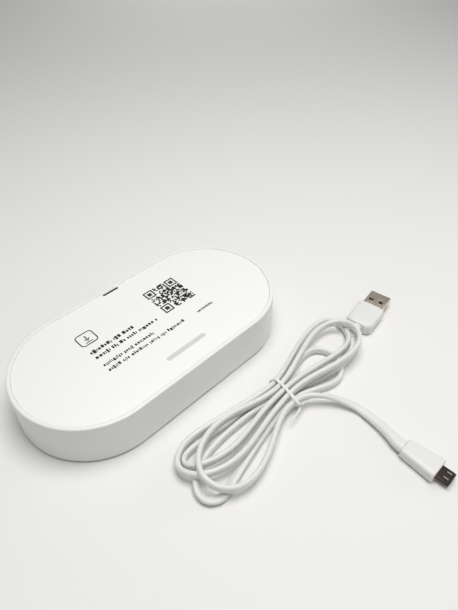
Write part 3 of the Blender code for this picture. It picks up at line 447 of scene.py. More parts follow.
TIE_WIDTH = 0.0015
TIE_HALF = 0.00028
TIE_RIB = 0.18  # of the width, on each side of the wire
TIE_ROUTE = [  # millimetres
    (30.5, -78.0, 5.0), (27.2, -77.8, 5.6), (25.4, -77.3, 6.6), (24.5, -76.4, 7.8),
    (24.6, -74.2, 8.8), (25.3, -71.2, 9.0), (26.1, -68.4, 8.8), (26.8, -65.6, 8.7),
    (27.2, -62.8, 8.7), (27.4, -60.2, 8.4), (26.9, -58.3, 7.0), (26.4, -57.7, 4.8),
    (26.2, -58.6, 1.8), (26.0, -60.8, 0.5), (25.9, -66.0, 0.4), (26.0, -71.0, 0.5),
    (26.0, -74.8, 1.0), (25.8, -77.0, 3.2), (24.6, -78.2, 4.9), (21.0, -79.2, 4.9),
    (15.4, -79.8, 4.7),
]


def ribbon_mesh(name, line, widths, half):
    """A flat strip along a line, its wide way kept level with the lead's run, with a wire rib."""
    rings = []
    wide_way = Vector((1, 0, 0))
    wide = Vector((0, 1, 0))
    for i, place in enumerate(line):
        ahead = (line[min(i + 1, len(line) - 1)] - line[max(i - 1, 0)]).normalized()
        flat = wide_way - ahead * wide_way.dot(ahead)
        if flat.length > 0.25:
            wide = flat.normalized()
        else:
            wide = (wide - ahead * wide.dot(ahead)).normalized()
        up = ahead.cross(wide)
        edge, rib = widths[i] / 2, widths[i] * TIE_RIB
        section = [(-edge, -half * 0.5), (-rib, -half * 0.6), (0.0, -half), (rib, -half * 0.6)]
        section += [(edge, -half * 0.5), (edge, half * 0.5), (rib, half * 0.6), (0.0, half)]
        section += [(-rib, half * 0.6), (-edge, half * 0.5)]
        rings.append([place + wide * x + up * y for x, y in section])
    return skin_rings(name, rings, 60)


TIE_STEPS = 6
TIE_TAPER = 3 * TIE_STEPS
TIE_TAIL = 0.0006
tie_line = smooth_route([Vector(p) / 1000 for p in TIE_ROUTE], TIE_STEPS)
tie_widths = []
for i in range(len(tie_line)):
    share = min(1.0, i / TIE_TAPER, (len(tie_line) - 1 - i) / TIE_TAPER)
    tie_widths.append(TIE_TAIL + (TIE_WIDTH - TIE_TAIL) * share)
tie = add_object("tie", ribbon_mesh("tie", tie_line, tie_widths, TIE_HALF))
TIE_WHITE = moulded_plastic(
    "tie_ribbon", (0.76, 0.76, 0.74), (0.6, 0.6, 0.56), 0.4, 0.6, 3000.0
)
set_material(tie, TIE_WHITE)
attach(tie, "root")
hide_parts("twist_tie")


# ---- Boots: the tapered strain reliefs at both plugs ----
# Each is moulded in one shot with its grip, in the same soft PVC. The large plug's is short
# and deep at the grip; the small plug's is a long plain taper.

USB_BOOT_ROUTE = [  # millimetres, from the cable to the grip
    (82.2, -69.2, 3.3), (84.8, -67.2, 3.3), (87.5, -65.9, 3.9), (89.6, -65.6, 3.9),
]
MICRO_BOOT_ROUTE = [
    (45.7, -100.7, 2.3), (45.0, -108.0, 2.6), (43.4, -115.6, 3.1), (41.5, -121.8, 3.3),
    (41.5, -124.3, 3.3),
]
BOOT_STEPS = 8
MOUTH_SHARE = 0.10
MOUTH_START = 0.55


def make_boot(name, route, at_cable, at_grip, node):
    """A flat-sided taper, its mouth rounded in to the cable it grips."""
    line = smooth_route([Vector(p) / 1000 for p in route], BOOT_STEPS)
    last = len(line) - 1
    sizes = []
    for i in range(len(line)):
        share = i / last
        swell = 3 * share**2 - 2 * share**3
        rounding = math.sin(min(1.0, share / MOUTH_SHARE) * math.pi / 2)
        mouth = MOUTH_START + (1.0 - MOUTH_START) * rounding
        size = []
        for cable, thin, thick in zip((CORD_WIDTH, CORD_THICKNESS), at_cable, at_grip):
            full = thin + (thick - thin) * swell
            size.append(cable + (full - cable) * mouth)
        sizes.append(size)
    boot = add_object(name, band_mesh(name, line, sizes, [0.0] * len(line), 10))
    set_material(boot, LEAD_WHITE)
    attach(boot, "root")
    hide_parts(node)
    return boot


usb_boot = make_boot(
    "large_boot", USB_BOOT_ROUTE, (0.0048, 0.0030), (0.0056, 0.0052), "usb_boot"
)
micro_boot = make_boot(
    "small_boot", MICRO_BOOT_ROUTE, (0.0048, 0.0029), (0.0066, 0.0048), "micro_boot"
)


# ---- Grips: the moulded handles of both plugs ----
# White PVC moulded round the shell and the cable. The large one is a flat soft-cornered block,
# and the small one is narrower and widens towards its shell.

USB_REAR = Vector((0.0896, -0.0656, 0.0039))
USB_HEADING = math.radians(8.0)
USB_GRIP_LENGTH = 0.0182
MICRO_REAR = Vector((0.0415, -0.1243, 0.0033))
MICRO_HEADING = math.radians(-90.0)
MICRO_GRIP_LENGTH = 0.0172


def superellipse(width, height, power, steps):
    """A soft-cornered section; a higher power is squarer."""
    points = []
    for k in range(steps):
        angle = 2 * math.pi * k / steps
        c, s = math.cos(angle), math.sin(angle)
        y = math.copysign(abs(c) ** (2 / power), c) * width / 2
        z = math.copysign(abs(s) ** (2 / power), s) * height / 2
        points.append((y, z))
    return points


LOFT_STEPS = 64


def loft(name, sections):
    """A closed skin through (x, width, height, power) sections. Its ends are flat."""
    rings = []
    for x, width, height, power in sections:
        ring = superellipse(width, height, power, LOFT_STEPS)
        rings.append([(x, y, z) for y, z in ring])
    return skin_rings(name, rings, 50)


def rounded_ends(length, rear, front, power, rear_round, front_round, steps=7):
    """Sections of a block from its rear (width, height) to its front, both ends rounded over.

    Each round is (seen from above, seen from the side).
    """
    sections = []
    for i in range(steps + 1):
        angle = math.radians(90 * i / steps)
        drop = 2 * (1 - math.sin(angle))
        back = rear_round[0] * (1 - math.cos(angle))
        width, height = rear[0] - drop * rear_round[0], rear[1] - drop * rear_round[1]
        sections.append((back, width, height, power))
    for i in range(steps + 1):
        angle = math.radians(90 * i / steps)
        drop = 2 * (1 - math.cos(angle))
        ahead = length - front_round[0] * (1 - math.sin(angle))
        width, height = front[0] - drop * front_round[0], front[1] - drop * front_round[1]
        sections.append((ahead, width, height, power))
    return sections


def lay_plug(obj, rear, heading):
    """Turns a piece made along +X so that it lies on the table at its plug's place."""
    obj.data.transform(Matrix.Translation(rear) @ Matrix.Rotation(heading, 4, "Z"))


def box_cutter(name, size, centre):
    """A hidden box that a Boolean takes out of another piece."""
    bm = bmesh.new()
    bmesh.ops.create_cube(bm, size=1.0)
    bmesh.ops.scale(bm, verts=bm.verts, vec=size)
    bmesh.ops.translate(bm, verts=bm.verts, vec=centre)
    mesh = bpy.data.meshes.new(name)
    bm.to_mesh(mesh)
    bm.free()
    return add_object(name, mesh)


def carve(obj, *cutters):
    """Takes the cutters out of a piece, and keeps only the finished mesh."""
    for cutter in cutters:
        modifier = obj.modifiers.new(cutter.name, "BOOLEAN")
        modifier.operation = "DIFFERENCE"
        modifier.solver = "EXACT"
        modifier.object = cutter
    bpy.context.view_layer.update()
    graph = bpy.context.evaluated_depsgraph_get()
    mesh = bpy.data.meshes.new_from_object(obj.evaluated_get(graph))
    obj.modifiers.clear()
    obj.data = mesh
    for cutter in cutters:
        bpy.data.objects.remove(cutter)


def soften(obj, angle):
    obj.data.shade_smooth()
    obj.data.set_sharp_from_angle(angle=math.radians(angle))


POCKET_DEPTH = 0.005
POCKET_PLAY = 0.0003


def make_grip(name, length, rear, front, power, rounds, shell, place, node):
    """A moulded handle with a pocket for its shell, of (width, height), in its front end."""
    grip = add_object(name, loft(name, rounded_ends(length, rear, front, power, *rounds)))
    pocket = (POCKET_DEPTH, shell[0] + POCKET_PLAY, shell[1] + POCKET_PLAY)
    carve(grip, box_cutter("pocket", pocket, (length, 0, 0)))
    lay_plug(grip, *place)
    set_material(grip, LEAD_WHITE)
    soften(grip, 40)
    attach(grip, "root")
    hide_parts(node)
    return grip


USB_PLACE = (USB_REAR, USB_HEADING)
MICRO_PLACE = (MICRO_REAR, MICRO_HEADING)
usb_grip = make_grip(
    "large_grip",
    USB_GRIP_LENGTH,
    rear=(0.0152, 0.0078),
    front=(0.0154, 0.0078),
    power=4.2,
    rounds=((0.0030, 0.0012), (0.0018, 0.0007)),
    shell=(0.0120, 0.0045),
    place=USB_PLACE,
    node="usb_grip",
)
micro_grip = make_grip(
    "small_grip",
    MICRO_GRIP_LENGTH,
    rear=(0.0090, 0.0060),
    front=(0.0118, 0.0066),
    power=4.4,
    rounds=((0.0012, 0.0009), (0.0008, 0.0005)),
    shell=(0.0071, 0.0019),
    place=MICRO_PLACE,
    node="micro_grip",
)


# ---- Plug shells: folded steel tubes ----
# The large plug's shell is nickel plated steel, folded up with a seam underneath, two square
# windows in each broad side and a catch in each narrow one. The small plug's is dark plated,
# with slots for its two latches.

USB_SHELL = (0.0148, 0.0120, 0.0045, 0.00035)  # length, width, height, wall
MICRO_SHELL = (0.0080, 0.0071, 0.0019, 0.00025)
ROLLED_LIP = 0.00012
SHELL_SQUARENESS = 14


def make_brushed():
    """Drawn sheet metal: long fine lines and soft stains."""
    group, source, result = new_group(
        "drawn_steel",
        [
            ("Colour", "NodeSocketColor", (0.5, 0.5, 0.5, 1.0)),
            ("Stain", "NodeSocketColor", (0.3, 0.28, 0.25, 1.0)),
            ("Line Scale", "NodeSocketFloat", 3000.0),
            ("Smoothest", "NodeSocketFloat", 0.22),
            ("Roughest", "NodeSocketFloat", 0.42),
        ],
        SKIN_OUTPUTS,
    )
    links = group.links
    place = group.nodes.new("ShaderNodeTexCoord")
    stretch = group.nodes.new("ShaderNodeMapping")
    stretch.inputs["Scale"].default_value = (0.04, 1.0, 1.0)
    links.new(place.outputs["Object"], stretch.inputs["Vector"])
    lines = group.nodes.new("ShaderNodeTexNoise")
    lines.inputs["Detail"].default_value = 2.0
    links.new(stretch.outputs["Vector"], lines.inputs["Vector"])
    links.new(source.outputs["Line Scale"], lines.inputs["Scale"])
    stains = group.nodes.new("ShaderNodeTexNoise")
    stains.inputs["Scale"].default_value = 260.0
    stains.inputs["Detail"].default_value = 4.0
    links.new(place.outputs["Object"], stains.inputs["Vector"])
    spread = group.nodes.new("ShaderNodeMapRange")
    spread.inputs["From Min"].default_value = 0.35
    spread.inputs["From Max"].default_value = 0.65
    links.new(stains.outputs["Fac"], spread.inputs["Value"])
    links.new(source.outputs["Smoothest"], spread.inputs["To Min"])
    links.new(source.outputs["Roughest"], spread.inputs["To Max"])
    links.new(spread.outputs["Result"], result.inputs["Roughness"])
    blend = group.nodes.new("ShaderNodeMix")
    blend.data_type = "RGBA"
    links.new(stains.outputs["Fac"], blend.inputs["Factor"])
    links.new(source.outputs["Colour"], blend.inputs[6])
    links.new(source.outputs["Stain"], blend.inputs[7])
    links.new(blend.outputs[2], result.inputs["Colour"])
    links.new(lines.outputs["Fac"], result.inputs["Height"])
    return group


DRAWN_STEEL = make_brushed()


def sheet_metal(name, colour, stain, smoothest, roughest):
    values = {
        "Colour": (*colour, 1.0),
        "Stain": (*stain, 1.0),
        "Smoothest": smoothest,
        "Roughest": roughest,
    }
    return skinned_material(name, DRAWN_STEEL, values, 1.0, strength=0.6, relief=0.000004)


NICKEL = sheet_metal("nickel_plate", (0.84, 0.76, 0.66), (0.66, 0.58, 0.49), 0.34, 0.50)
DARK_NICKEL = sheet_metal(
    "dark_nickel", (0.085, 0.068, 0.058), (0.035, 0.028, 0.024), 0.3, 0.5
)


def make_shell(name, size, start, cutters, material, place, node):
    """A thin rounded tube from inside the grip out to the mouth, its mouth rolled in a little."""
    length, width, height, wall = size
    mouth = start + length
    outer = [
        (start, width, height, SHELL_SQUARENESS),
        (mouth - ROLLED_LIP, width, height, SHELL_SQUARENESS),
        (mouth, width - ROLLED_LIP, height - ROLLED_LIP, SHELL_SQUARENESS),
    ]
    shell = add_object(name, loft(name, outer))
    hollow = (length * 1.2, width - 2 * wall, height - 2 * wall)
    inside = box_cutter("inside", hollow, (start + length / 2, 0, 0))
    carve(shell, inside, *cutters)
    lay_plug(shell, *place)
    set_material(shell, material)
    soften(shell, 40)
    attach(shell, "root")
    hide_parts(node)
    return shell


USB_WINDOW, USB_WINDOW_AHEAD = (0.0022, 0.0026, 0.0020), 0.0052
usb_cutters = [
    box_cutter("window", USB_WINDOW, (USB_GRIP_LENGTH + USB_WINDOW_AHEAD, side, face))
    for face in (0.00225, -0.00225)
    for side in (0.0029, -0.0029)
]
usb_cutters.append(
    box_cutter("seam", (0.02, 0.00008, 0.001), (USB_GRIP_LENGTH + 0.005, 0, -0.00225))
)
usb_cutters += [
    box_cutter("catch", (0.0030, 0.0006, 0.0016), (USB_GRIP_LENGTH + USB_WINDOW_AHEAD, side, 0))
    for side in (0.0060, -0.0060)
]
usb_shell = make_shell(
    "large_shell",
    USB_SHELL,
    start=USB_GRIP_LENGTH - 0.0026,
    cutters=usb_cutters,
    material=NICKEL,
    place=USB_PLACE,
    node="usb_shell",
)
micro_cutters = [
    box_cutter("slot", (0.0025, 0.0009, 0.001), (MICRO_GRIP_LENGTH + 0.0038, side, 0.00095))
    for side in (0.0016, -0.0016)
]
micro_cutters.append(
    box_cutter("seam", (0.012, 0.00006, 0.0006), (MICRO_GRIP_LENGTH + 0.003, 0, -0.00095))
)
micro_shell = make_shell(
    "small_shell",
    MICRO_SHELL,
    start=MICRO_GRIP_LENGTH - 0.0018,
    cutters=micro_cutters,
    material=DARK_NICKEL,
    place=MICRO_PLACE,
    node="micro_shell",
)
GOLD = sheet_metal("gold_flash", (0.86, 0.66, 0.30), (0.66, 0.47, 0.20), 0.28, 0.36)
for i in range(1, 5):
    set_material(nodes[f"usb_contact_{i}"], GOLD)
BRIGHT_LATCH = sheet_metal("latch_steel", (0.66, 0.64, 0.60), (0.45, 0.43, 0.40), 0.28, 0.38)
for i in (1, 2):
    set_material(nodes[f"micro_latch_{i}"], BRIGHT_LATCH)
BLACK_NYLON = moulded_plastic("black_nylon", (0.022, 0.022, 0.024), (0.05, 0.05, 0.05), 0.3, 0.5)
set_material(nodes["micro_tongue"], BLACK_NYLON)
set_material(nodes["usb_tongue"], BLACK_NYLON)

usb_pieces = [usb_boot, usb_grip, usb_shell, nodes["usb_tongue"]]
usb_pieces += [nodes[f"usb_contact_{i}"] for i in range(1, 5)]
micro_pieces = [micro_boot, micro_grip, micro_shell, nodes["micro_tongue"]]
micro_pieces += [nodes["micro_latch_1"], nodes["micro_latch_2"]]


# ---- Housing: the hub's side wall, rim and inner deck ----
# One white ABS moulding with a racetrack outline. A narrow rounded rim stands round the face
# panel, and the rear has openings for the power socket and the reset button.

HOUSING_LOW, HOUSING_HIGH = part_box("housing")
HUB_LENGTH = HOUSING_HIGH.x - HOUSING_LOW.x
HUB_WIDTH = HOUSING_HIGH.y - HOUSING_LOW.y
HUB_HEIGHT = HOUSING_HIGH.z
WALL_FOOT = HOUSING_LOW.z
WALL = 0.0022
ARC_STEPS = 48


def racetrack(inset):
    """The hub's outline, drawn in by an inset."""
    radius = HUB_WIDTH / 2 - inset
    offset = HUB_LENGTH / 2 - HUB_WIDTH / 2
    points = []
    for centre, start in ((offset, -90), (-offset, 90)):
        for i in range(ARC_STEPS + 1):
            angle = math.radians(start + 180 * i / ARC_STEPS)
            points.append((centre + radius * math.cos(angle), radius * math.sin(angle)))
    return points


def edge_round(inset, height, radius, turn_from, steps=5):
    """(inset, height) points round a quarter circle about a centre, from an angle in degrees."""
    points = []
    for i in range(steps + 1):
        angle = math.radians(turn_from - 90 * i / steps)
        points.append((inset + radius * math.cos(angle), height + radius * math.sin(angle)))
    return points


def racetrack_skin(name, profile, closed=False):
    """A skin through racetracks at (inset, height) points. It is capped flat, or closed."""
    rings = [[(x, y, height) for x, y in racetrack(inset)] for inset, height in profile]
    return add_object(name, skin_rings(name, rings, 30, closed))


def cylinder_cutter(name, radius, start, end, sides=40):
    start, end = Vector(start), Vector(end)
    depth = (end - start).length
    bm = bmesh.new()
    bmesh.ops.create_cone(
        bm, cap_ends=True, segments=sides, radius1=radius, radius2=radius, depth=depth
    )
    spin = Vector((0, 0, 1)).rotation_difference(end - start)
    bmesh.ops.rotate(bm, verts=bm.verts, cent=(0, 0, 0), matrix=spin.to_matrix())
    bmesh.ops.translate(bm, verts=bm.verts, vec=(start + end) / 2)
    mesh = bpy.data.meshes.new(name)
    bm.to_mesh(mesh)
    bm.free()
    return add_object(name, mesh)


WHITE_ABS = moulded_plastic(
    "white_abs", (0.80, 0.805, 0.785), (0.70, 0.70, 0.66), 0.28, 0.36
)

RIM_ROUND, INNER_ROUND, BOTTOM_ROUND = 0.0008, 0.00025, 0.0003
BASE_STEP = 0.0018
DECK_DROP, DECK_THICKNESS, DECK_INNER = 0.0037, 0.0015, 0.020
deck_top = HUB_HEIGHT - DECK_DROP
deck_bottom = deck_top - DECK_THICKNESS
housing_profile = [(WALL, WALL_FOOT + BASE_STEP), (WALL, WALL_FOOT)]
housing_profile += edge_round(BOTTOM_ROUND, WALL_FOOT + BOTTOM_ROUND, BOTTOM_ROUND, 270)
housing_profile += edge_round(RIM_ROUND, HUB_HEIGHT - RIM_ROUND, RIM_ROUND, 180)
housing_profile += edge_round(WALL - INNER_ROUND, HUB_HEIGHT - INNER_ROUND, INNER_ROUND, 90)
housing_profile += [(WALL, deck_top), (DECK_INNER, deck_top)]
housing_profile += [(DECK_INNER, deck_bottom), (WALL, deck_bottom)]
housing = racetrack_skin("housing_shell", housing_profile, closed=True)

SOCKET_LOW, SOCKET_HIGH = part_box("usb_socket_shell")
socket_middle = (SOCKET_LOW + SOCKET_HIGH) / 2
socket_size = SOCKET_HIGH - SOCKET_LOW
RESET_LOW, RESET_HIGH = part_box("reset_button")
reset_middle = (RESET_LOW + RESET_HIGH) / 2


def rounded_slot_cutter(name, width, height, depth, centre):
    """A soft-cornered opening cut along Y."""
    mesh = loft(name, [(-depth / 2, width, height, 7), (depth / 2, width, height, 7)])
    mesh.transform(Matrix.Translation(centre) @ Matrix.Rotation(math.pi / 2, 4, "Z"))
    return add_object(name, mesh)


OPENING_PLAY = 0.0010
RESET_HOLE_RADIUS = 0.0013
rear_face = HUB_WIDTH / 2
carve(
    housing,
    rounded_slot_cutter(
        "socket_way",
        socket_size.x + OPENING_PLAY,
        socket_size.z + OPENING_PLAY,
        0.006,
        (socket_middle.x, rear_face - WALL / 2, socket_middle.z),
    ),
    cylinder_cutter(
        "reset_way",
        RESET_HOLE_RADIUS,
        (reset_middle.x, rear_face - 0.004, reset_middle.z),
        (reset_middle.x, rear_face + 0.002, reset_middle.z),
    ),
)
soften(housing, 30)
set_material(housing, WHITE_ABS)
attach(housing, "root")
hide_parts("housing")


# ---- Face panel: the flat white cover that presses down ----
# A thin ABS plate, satin, dropped inside the rim with a hair gap all round, and held by hooks
# through the deck. A slot near its rear edge lets the status light through.

HAIR_GAP = 0.00007
PANEL_ROUND = 0.0002
PANEL_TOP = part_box("face_panel")[1].z
PANEL_BOTTOM = PANEL_TOP - 0.0020  # the plate alone, without its hooks
panel_inset = WALL + HAIR_GAP
panel_profile = [(panel_inset, PANEL_BOTTOM)]
panel_profile += edge_round(panel_inset + PANEL_ROUND, PANEL_TOP - PANEL_ROUND, PANEL_ROUND, 180)
panel = racetrack_skin("face", panel_profile)
WINDOW_LOW, WINDOW_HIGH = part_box("light_window")
window_middle = (WINDOW_LOW + WINDOW_HIGH) / 2
window_size = WINDOW_HIGH - WINDOW_LOW


def stadium_prism(name, length, width, bottom, top, centre, bevel=0.0, steps=12):
    """An upright racetrack block, its top edge eased by a bevel."""
    levels = [(0.0, bottom), (0.0, top - bevel)]
    if bevel:
        levels += [(bevel * 0.3, top - bevel * 0.3), (bevel, top)]
    rings = []
    for inset, height in levels:
        radius = width / 2 - inset
        ring = []
        for side, start in ((1, -90), (-1, 90)):
            for i in range(steps + 1):
                angle = math.radians(start + 180 * i / steps)
                x = centre[0] + side * (length - width) / 2 + radius * math.cos(angle)
                ring.append((x, centre[1] + radius * math.sin(angle), height))
        rings.append(ring)
    return add_object(name, skin_rings(name, rings, 35))


SLOT_LONGER, SLOT_WIDER = 0.00025, 0.00045
WINDOW_PLAY = 0.00006
WINDOW_EDGE = 0.0001
slot_length = window_size.x + SLOT_LONGER
slot_width = window_size.y + SLOT_WIDER
slot_span = (PANEL_BOTTOM - 0.001, PANEL_TOP + 0.001)
carve(panel, stadium_prism("window_way", slot_length, slot_width, *slot_span, window_middle))
soften(panel, 30)
FACE_WHITE = moulded_plastic(
    "face_satin", (0.83, 0.84, 0.81), (0.76, 0.77, 0.73), 0.36, 0.50, 3200.0
)
set_material(panel, FACE_WHITE)
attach(panel, "face")
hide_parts("face_panel")

window = stadium_prism(
    "status_window",
    slot_length - WINDOW_PLAY,
    slot_width - WINDOW_PLAY,
    PANEL_BOTTOM,
    PANEL_TOP - WINDOW_EDGE,
    window_middle,
    WINDOW_EDGE,
)
SMOKED = moulded_plastic("smoked_lens", (0.030, 0.030, 0.028), (0.05, 0.05, 0.05), 0.12, 0.22)
set_material(window, SMOKED)
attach(window, "face")
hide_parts("light_window")


# ---- Printing on the face: generic marks only ----
# Screen-printed ink, a few hundredths of a millimetre thick. Rows of small plain blocks stand
# where wording would be, a block pattern that encodes nothing, a down-arrow and a plain bar.

INK_LIFT = 0.00003


def ink_mesh(name, shapes):
    """One thin printed layer. Each shape is a list of (x, y) points in millimetres."""
    bm = bmesh.new()
    for shape in shapes:
        low = [bm.verts.new((x / 1000, y / 1000, PANEL_TOP - INK_LIFT)) for x, y in shape]
        high = [bm.verts.new((x / 1000, y / 1000, PANEL_TOP + INK_LIFT)) for x, y in shape]
        for k in range(len(shape)):
            after = (k + 1) % len(shape)
            bm.faces.new((low[k], low[after], high[after], high[k]))
        bm.faces.new(low[::-1])
        bm.faces.new(high)
    bmesh.ops.recalc_face_normals(bm, faces=bm.faces)
    mesh = bpy.data.meshes.new(name)
    bm.to_mesh(mesh)
    bm.free()
    return mesh


def soft_box(x, y, width, height, corner=0.0, steps=3):
    """A rectangle from its lower left corner, with rounded corners if asked."""
    if not corner:
        return [(x, y), (x + width, y), (x + width, y + height), (x, y + height)]
    points = []
    for quarter, (sx, sy) in enumerate([(1, 1), (0, 1), (0, 0), (1, 0)]):
        cx = x + corner + sx * (width - 2 * corner)
        cy = y + corner + sy * (height - 2 * corner)
        for i in range(steps + 1):
            angle = math.radians(90 * quarter + 90 * i / steps)
            points.append((cx + corner * math.cos(angle), cy + corner * math.sin(angle)))
    return points


def frame_shapes(x, y, width, height, corner, line, steps=6):
    """A rounded outline, as short four-sided pieces laid end to end."""
    outer = soft_box(x, y, width, height, corner, steps)
    inner_corner = max(corner - line, 0.01)
    inner_size = (width - 2 * line, height - 2 * line)
    inner = soft_box(x + line, y + line, *inner_size, inner_corner, steps)
    pieces = []
    for k in range(len(outer)):
        after = (k + 1) % len(outer)
        pieces.append([outer[k], outer[after], inner[after], inner[k]])
    return pieces


def greeked_line(x_start, x_end, y, height, widths, gap, words, seed):
    """A row of plain blocks in word-like runs. It spells nothing."""
    chooser = random.Random(seed)
    shapes = []
    x = x_start
    letters_left = words[0]
    word = 0
    while x < x_end:
        wide = min(chooser.choice(widths), x_end - x)
        rise = height * chooser.choice((1.0, 1.0, 1.0, 1.4))
        drop = height * chooser.choice((0.0, 0.0, 0.0, 0.0, 0.35))
        if wide > 0.25:
            shapes.append(soft_box(x, y - drop, wide, rise + drop, min(wide, height) * 0.3, 2))
        x += wide + gap
        letters_left -= 1
        if letters_left == 0:
            word = (word + 1) % len(words)
            letters_left = words[word]
            x += gap * 2.2
    return shapes


def print_on_face(name, shapes, material):
    mark = add_object(name, ink_mesh(name, shapes))
    set_material(mark, material)
    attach(mark, "face")


BLACK_INK = moulded_plastic(
    "black_ink", (0.020, 0.020, 0.020), (0.07, 0.07, 0.07), 0.35, 0.5, 4000.0
)
GREY_INK = moulded_plastic("grey_ink", (0.58, 0.60, 0.58), (0.64, 0.65, 0.63), 0.35, 0.5, 4000.0)

PATTERN_LEFT, PATTERN_LOW, PATTERN_SIDE, PATTERN_CELLS = 10.4, -0.5, 20.0, 25
EYE = 7  # cells along a corner square
DARK_SHARE = 0.60
SPREAD = 0.04
cell = PATTERN_SIDE / PATTERN_CELLS
pattern = []
chooser = random.Random(11)
for row in range(PATTERN_CELLS):
    for column in range(PATTERN_CELLS):
        near_top = row >= PATTERN_CELLS - EYE - 1
        near_left = column <= EYE
        near_low = row <= EYE
        near_right = column >= PATTERN_CELLS - EYE - 1
        in_eye = (near_top and (near_left or near_right)) or (near_low and near_left)
        dark = chooser.random() < DARK_SHARE
        if dark and not in_eye:
            x = PATTERN_LEFT + column * cell - SPREAD
            y = PATTERN_LOW + row * cell - SPREAD
            pattern.append(soft_box(x, y, cell + 2 * SPREAD, cell + 2 * SPREAD))
far = PATTERN_SIDE - EYE * cell
eye_side = EYE * cell + 2 * SPREAD
for eye_x, eye_y in ((0.0, far), (far, far), (0.0, 0.0)):
    x, y = PATTERN_LEFT + eye_x, PATTERN_LOW + eye_y
    pattern += frame_shapes(x - SPREAD, y - SPREAD, eye_side, eye_side, 0.1, cell, 1)
    pattern.append(soft_box(x + 2 * cell, y + 2 * cell, 3 * cell, 3 * cell))
print_on_face("block_pattern", pattern, BLACK_INK)

BOLD = (1.55, (0.5, 0.9, 1.3, 1.5, 1.7), 0.42)  # height, widths and gap
LIGHT = (1.40, (0.4, 0.7, 0.9, 1.2), 0.42)
wording = []
for x_end, y, style, words, seed in (
    (-7.6, 3.2, BOLD, (8, 3), 3),
    (4.0, -0.9, BOLD, (6, 3, 2, 5), 5),
    (-3.2, -7.1, LIGHT, (11, 5), 7),
    (13.9, -11.1, LIGHT, (6, 4, 9), 9),
):
    wording += greeked_line(-33.0, x_end, y, *style, words, seed)
print_on_face("wording_blocks", wording, BLACK_INK)
code = greeked_line(22.0, 32.4, -11.5, 1.15, (0.4, 0.7, 0.9), 0.28, (20,), 13)
print_on_face("code_blocks", code, BLACK_INK)

badge = frame_shapes(-33.5, 9.4, 9.7, 8.8, 2.0, 0.60)
arrow_shaft = soft_box(-28.95, 13.0, 0.6, 3.0)
arrow_head = [(-30.2, 13.6), (-28.65, 12.0), (-27.1, 13.6)]
arrow_head += [(-27.45, 13.95), (-28.65, 12.75), (-29.85, 13.95)]
tray = soft_box(-30.7, 10.9, 4.1, 0.5)
print_on_face("arrow_badge", [*badge, arrow_shaft, arrow_head, tray], BLACK_INK)
print_on_face("plain_mark", [soft_box(-10.2, -26.0, 24.2, 2.5, 1.2, 6)], GREY_INK)


# ---- Base: cover, screws and rubber foot ----
# The white cover is screwed up from below. A dark rubber ring in its groove lifts the hub a
# millimetre off the table, which leaves the thin dark line under the wall.

BASE_WHITE = moulded_plastic("base_abs", (0.74, 0.745, 0.725), (0.62, 0.62, 0.58), 0.45, 0.6)
set_material(nodes["base_cover"], BASE_WHITE)
foot_low, foot_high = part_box("base_foot")
FOOT_WIDTH, FOOT_EDGE = 0.0040, 0.0003
foot_outer = HUB_LENGTH / 2 - foot_high.x
foot_inner = foot_outer + FOOT_WIDTH
foot_profile = [(foot_outer, foot_high.z), (foot_outer, foot_low.z + FOOT_EDGE)]
foot_profile += [(foot_outer + FOOT_EDGE, foot_low.z), (foot_inner - FOOT_EDGE, foot_low.z)]
foot_profile += [(foot_inner, foot_low.z + FOOT_EDGE), (foot_inner, foot_high.z)]
foot = racetrack_skin("foot_ring", foot_profile, closed=True)
RUBBER = moulded_plastic(
    "foot_rubber", (0.030, 0.030, 0.030), (0.07, 0.07, 0.065), 0.65, 0.85, 1200.0
)
set_material(foot, RUBBER)
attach(foot, "root")
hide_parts("base_foot")
ZINC = sheet_metal("zinc_plate", (0.62, 0.62, 0.60), (0.48, 0.47, 0.43), 0.28, 0.42)
for i in range(1, 5):
    set_material(nodes[f"base_screw_{i}"], ZINC)
    set_material(nodes[f"board_screw_{i}"], ZINC)


# ---- Rear: power socket and reset button ----
# The socket is a folded tin-plated shell with a black tongue, soldered to the board. The reset
# button is a small white cap that works a switch on the board.

TIN = sheet_metal("tin_plate", (0.66, 0.67, 0.68), (0.52, 0.52, 0.50), 0.28, 0.40)
SOCKET_SHEET = 0.0003
half_depth = socket_size.y / 2
outside = [(x, socket_size.x, socket_size.z, 9) for x in (-half_depth, half_depth)]
inner = (socket_size.x - 2 * SOCKET_SHEET, socket_size.z - 2 * SOCKET_SHEET)
inside = [(x, *inner, 8) for x in (-0.01, 0.01)]
socket_shell = add_object("rear_socket", loft("rear_socket", outside))
carve(socket_shell, add_object("socket_inside", loft("socket_inside", inside)))
turn_back = Matrix.Translation(socket_middle) @ Matrix.Rotation(math.pi / 2, 4, "Z")
socket_shell.data.transform(turn_back)
soften(socket_shell, 40)
set_material(socket_shell, TIN)
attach(socket_shell, "root")
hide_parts("usb_socket_shell")
set_material(nodes["reset_button"], WHITE_ABS)
for name in ("usb_socket_tongue", "reset_plunger", "reset_switch"):
    set_material(nodes[name], BLACK_NYLON)


# ---- Main board and what is soldered to it ----
# A green glass-laminate board under solder mask, with black packages, tinned shield cans and a
# bare copper antenna wire. The film antenna is stuck to the front wall and fed by a thin coax.


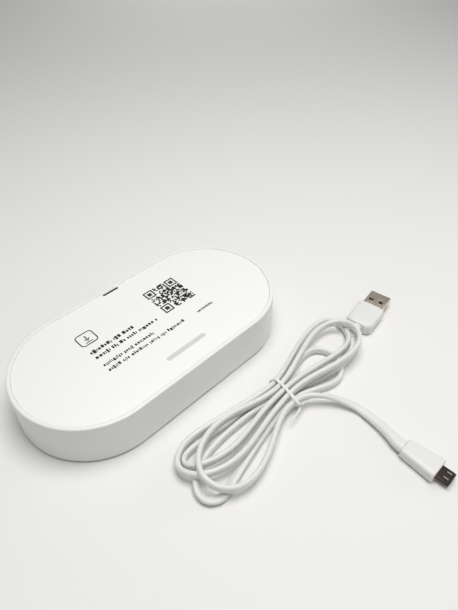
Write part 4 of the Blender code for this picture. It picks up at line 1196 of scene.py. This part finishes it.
def make_board_skin():
    """Solder mask, with the tracks showing through it as slightly paler lines."""
    material, shader = start_material("solder_mask", (0.02, 0.13, 0.06), 0.35)
    tree = material.node_tree
    place = tree.nodes.new("ShaderNodeTexCoord")
    tracks = tree.nodes.new("ShaderNodeTexBrick")
    tracks.inputs["Scale"].default_value = 260.0
    tracks.inputs["Mortar Size"].default_value = 0.03
    tracks.inputs["Color1"].default_value = (0.016, 0.115, 0.052, 1.0)
    tracks.inputs["Color2"].default_value = (0.020, 0.135, 0.062, 1.0)
    tracks.inputs["Mortar"].default_value = (0.045, 0.21, 0.10, 1.0)
    tree.links.new(place.outputs["Object"], tracks.inputs["Vector"])
    tree.links.new(tracks.outputs["Color"], shader.inputs["Base Color"])
    bump = tree.nodes.new("ShaderNodeBump")
    bump.inputs["Strength"].default_value = 0.4
    bump.inputs["Distance"].default_value = 0.00002
    tree.links.new(tracks.outputs["Fac"], bump.inputs["Height"])
    tree.links.new(bump.outputs["Normal"], shader.inputs["Normal"])
    return material


set_material(nodes["main_board"], make_board_skin())
for name in ("processor", "memory_chip", "power_inductor"):
    set_material(nodes[name], BLACK_NYLON)
for i in range(1, 4):
    set_material(nodes[f"key_switch_{i}"], BLACK_NYLON)
    set_material(nodes[f"key_plunger_{i}"], BLACK_NYLON)
for name in ("radio_shield", "wifi_shield", "crystal", "capacitor"):
    set_material(nodes[name], TIN)
COPPER = sheet_metal("bare_copper", (0.72, 0.40, 0.24), (0.45, 0.22, 0.12), 0.28, 0.45)
set_material(nodes["antenna_wire"], COPPER)
set_material(nodes["coax_plug"], GOLD)
set_material(nodes["antenna_coax"], BLACK_NYLON)
AMBER = moulded_plastic("amber_film", (0.50, 0.26, 0.06), (0.62, 0.36, 0.12), 0.2, 0.35)
set_material(nodes["film_antenna"], AMBER)
CLEAR = moulded_plastic("clear_acrylic", (0.78, 0.82, 0.84), (0.70, 0.75, 0.78), 0.08, 0.2)
set_material(nodes["light_guide"], CLEAR)
set_material(nodes["status_led"], CLEAR)

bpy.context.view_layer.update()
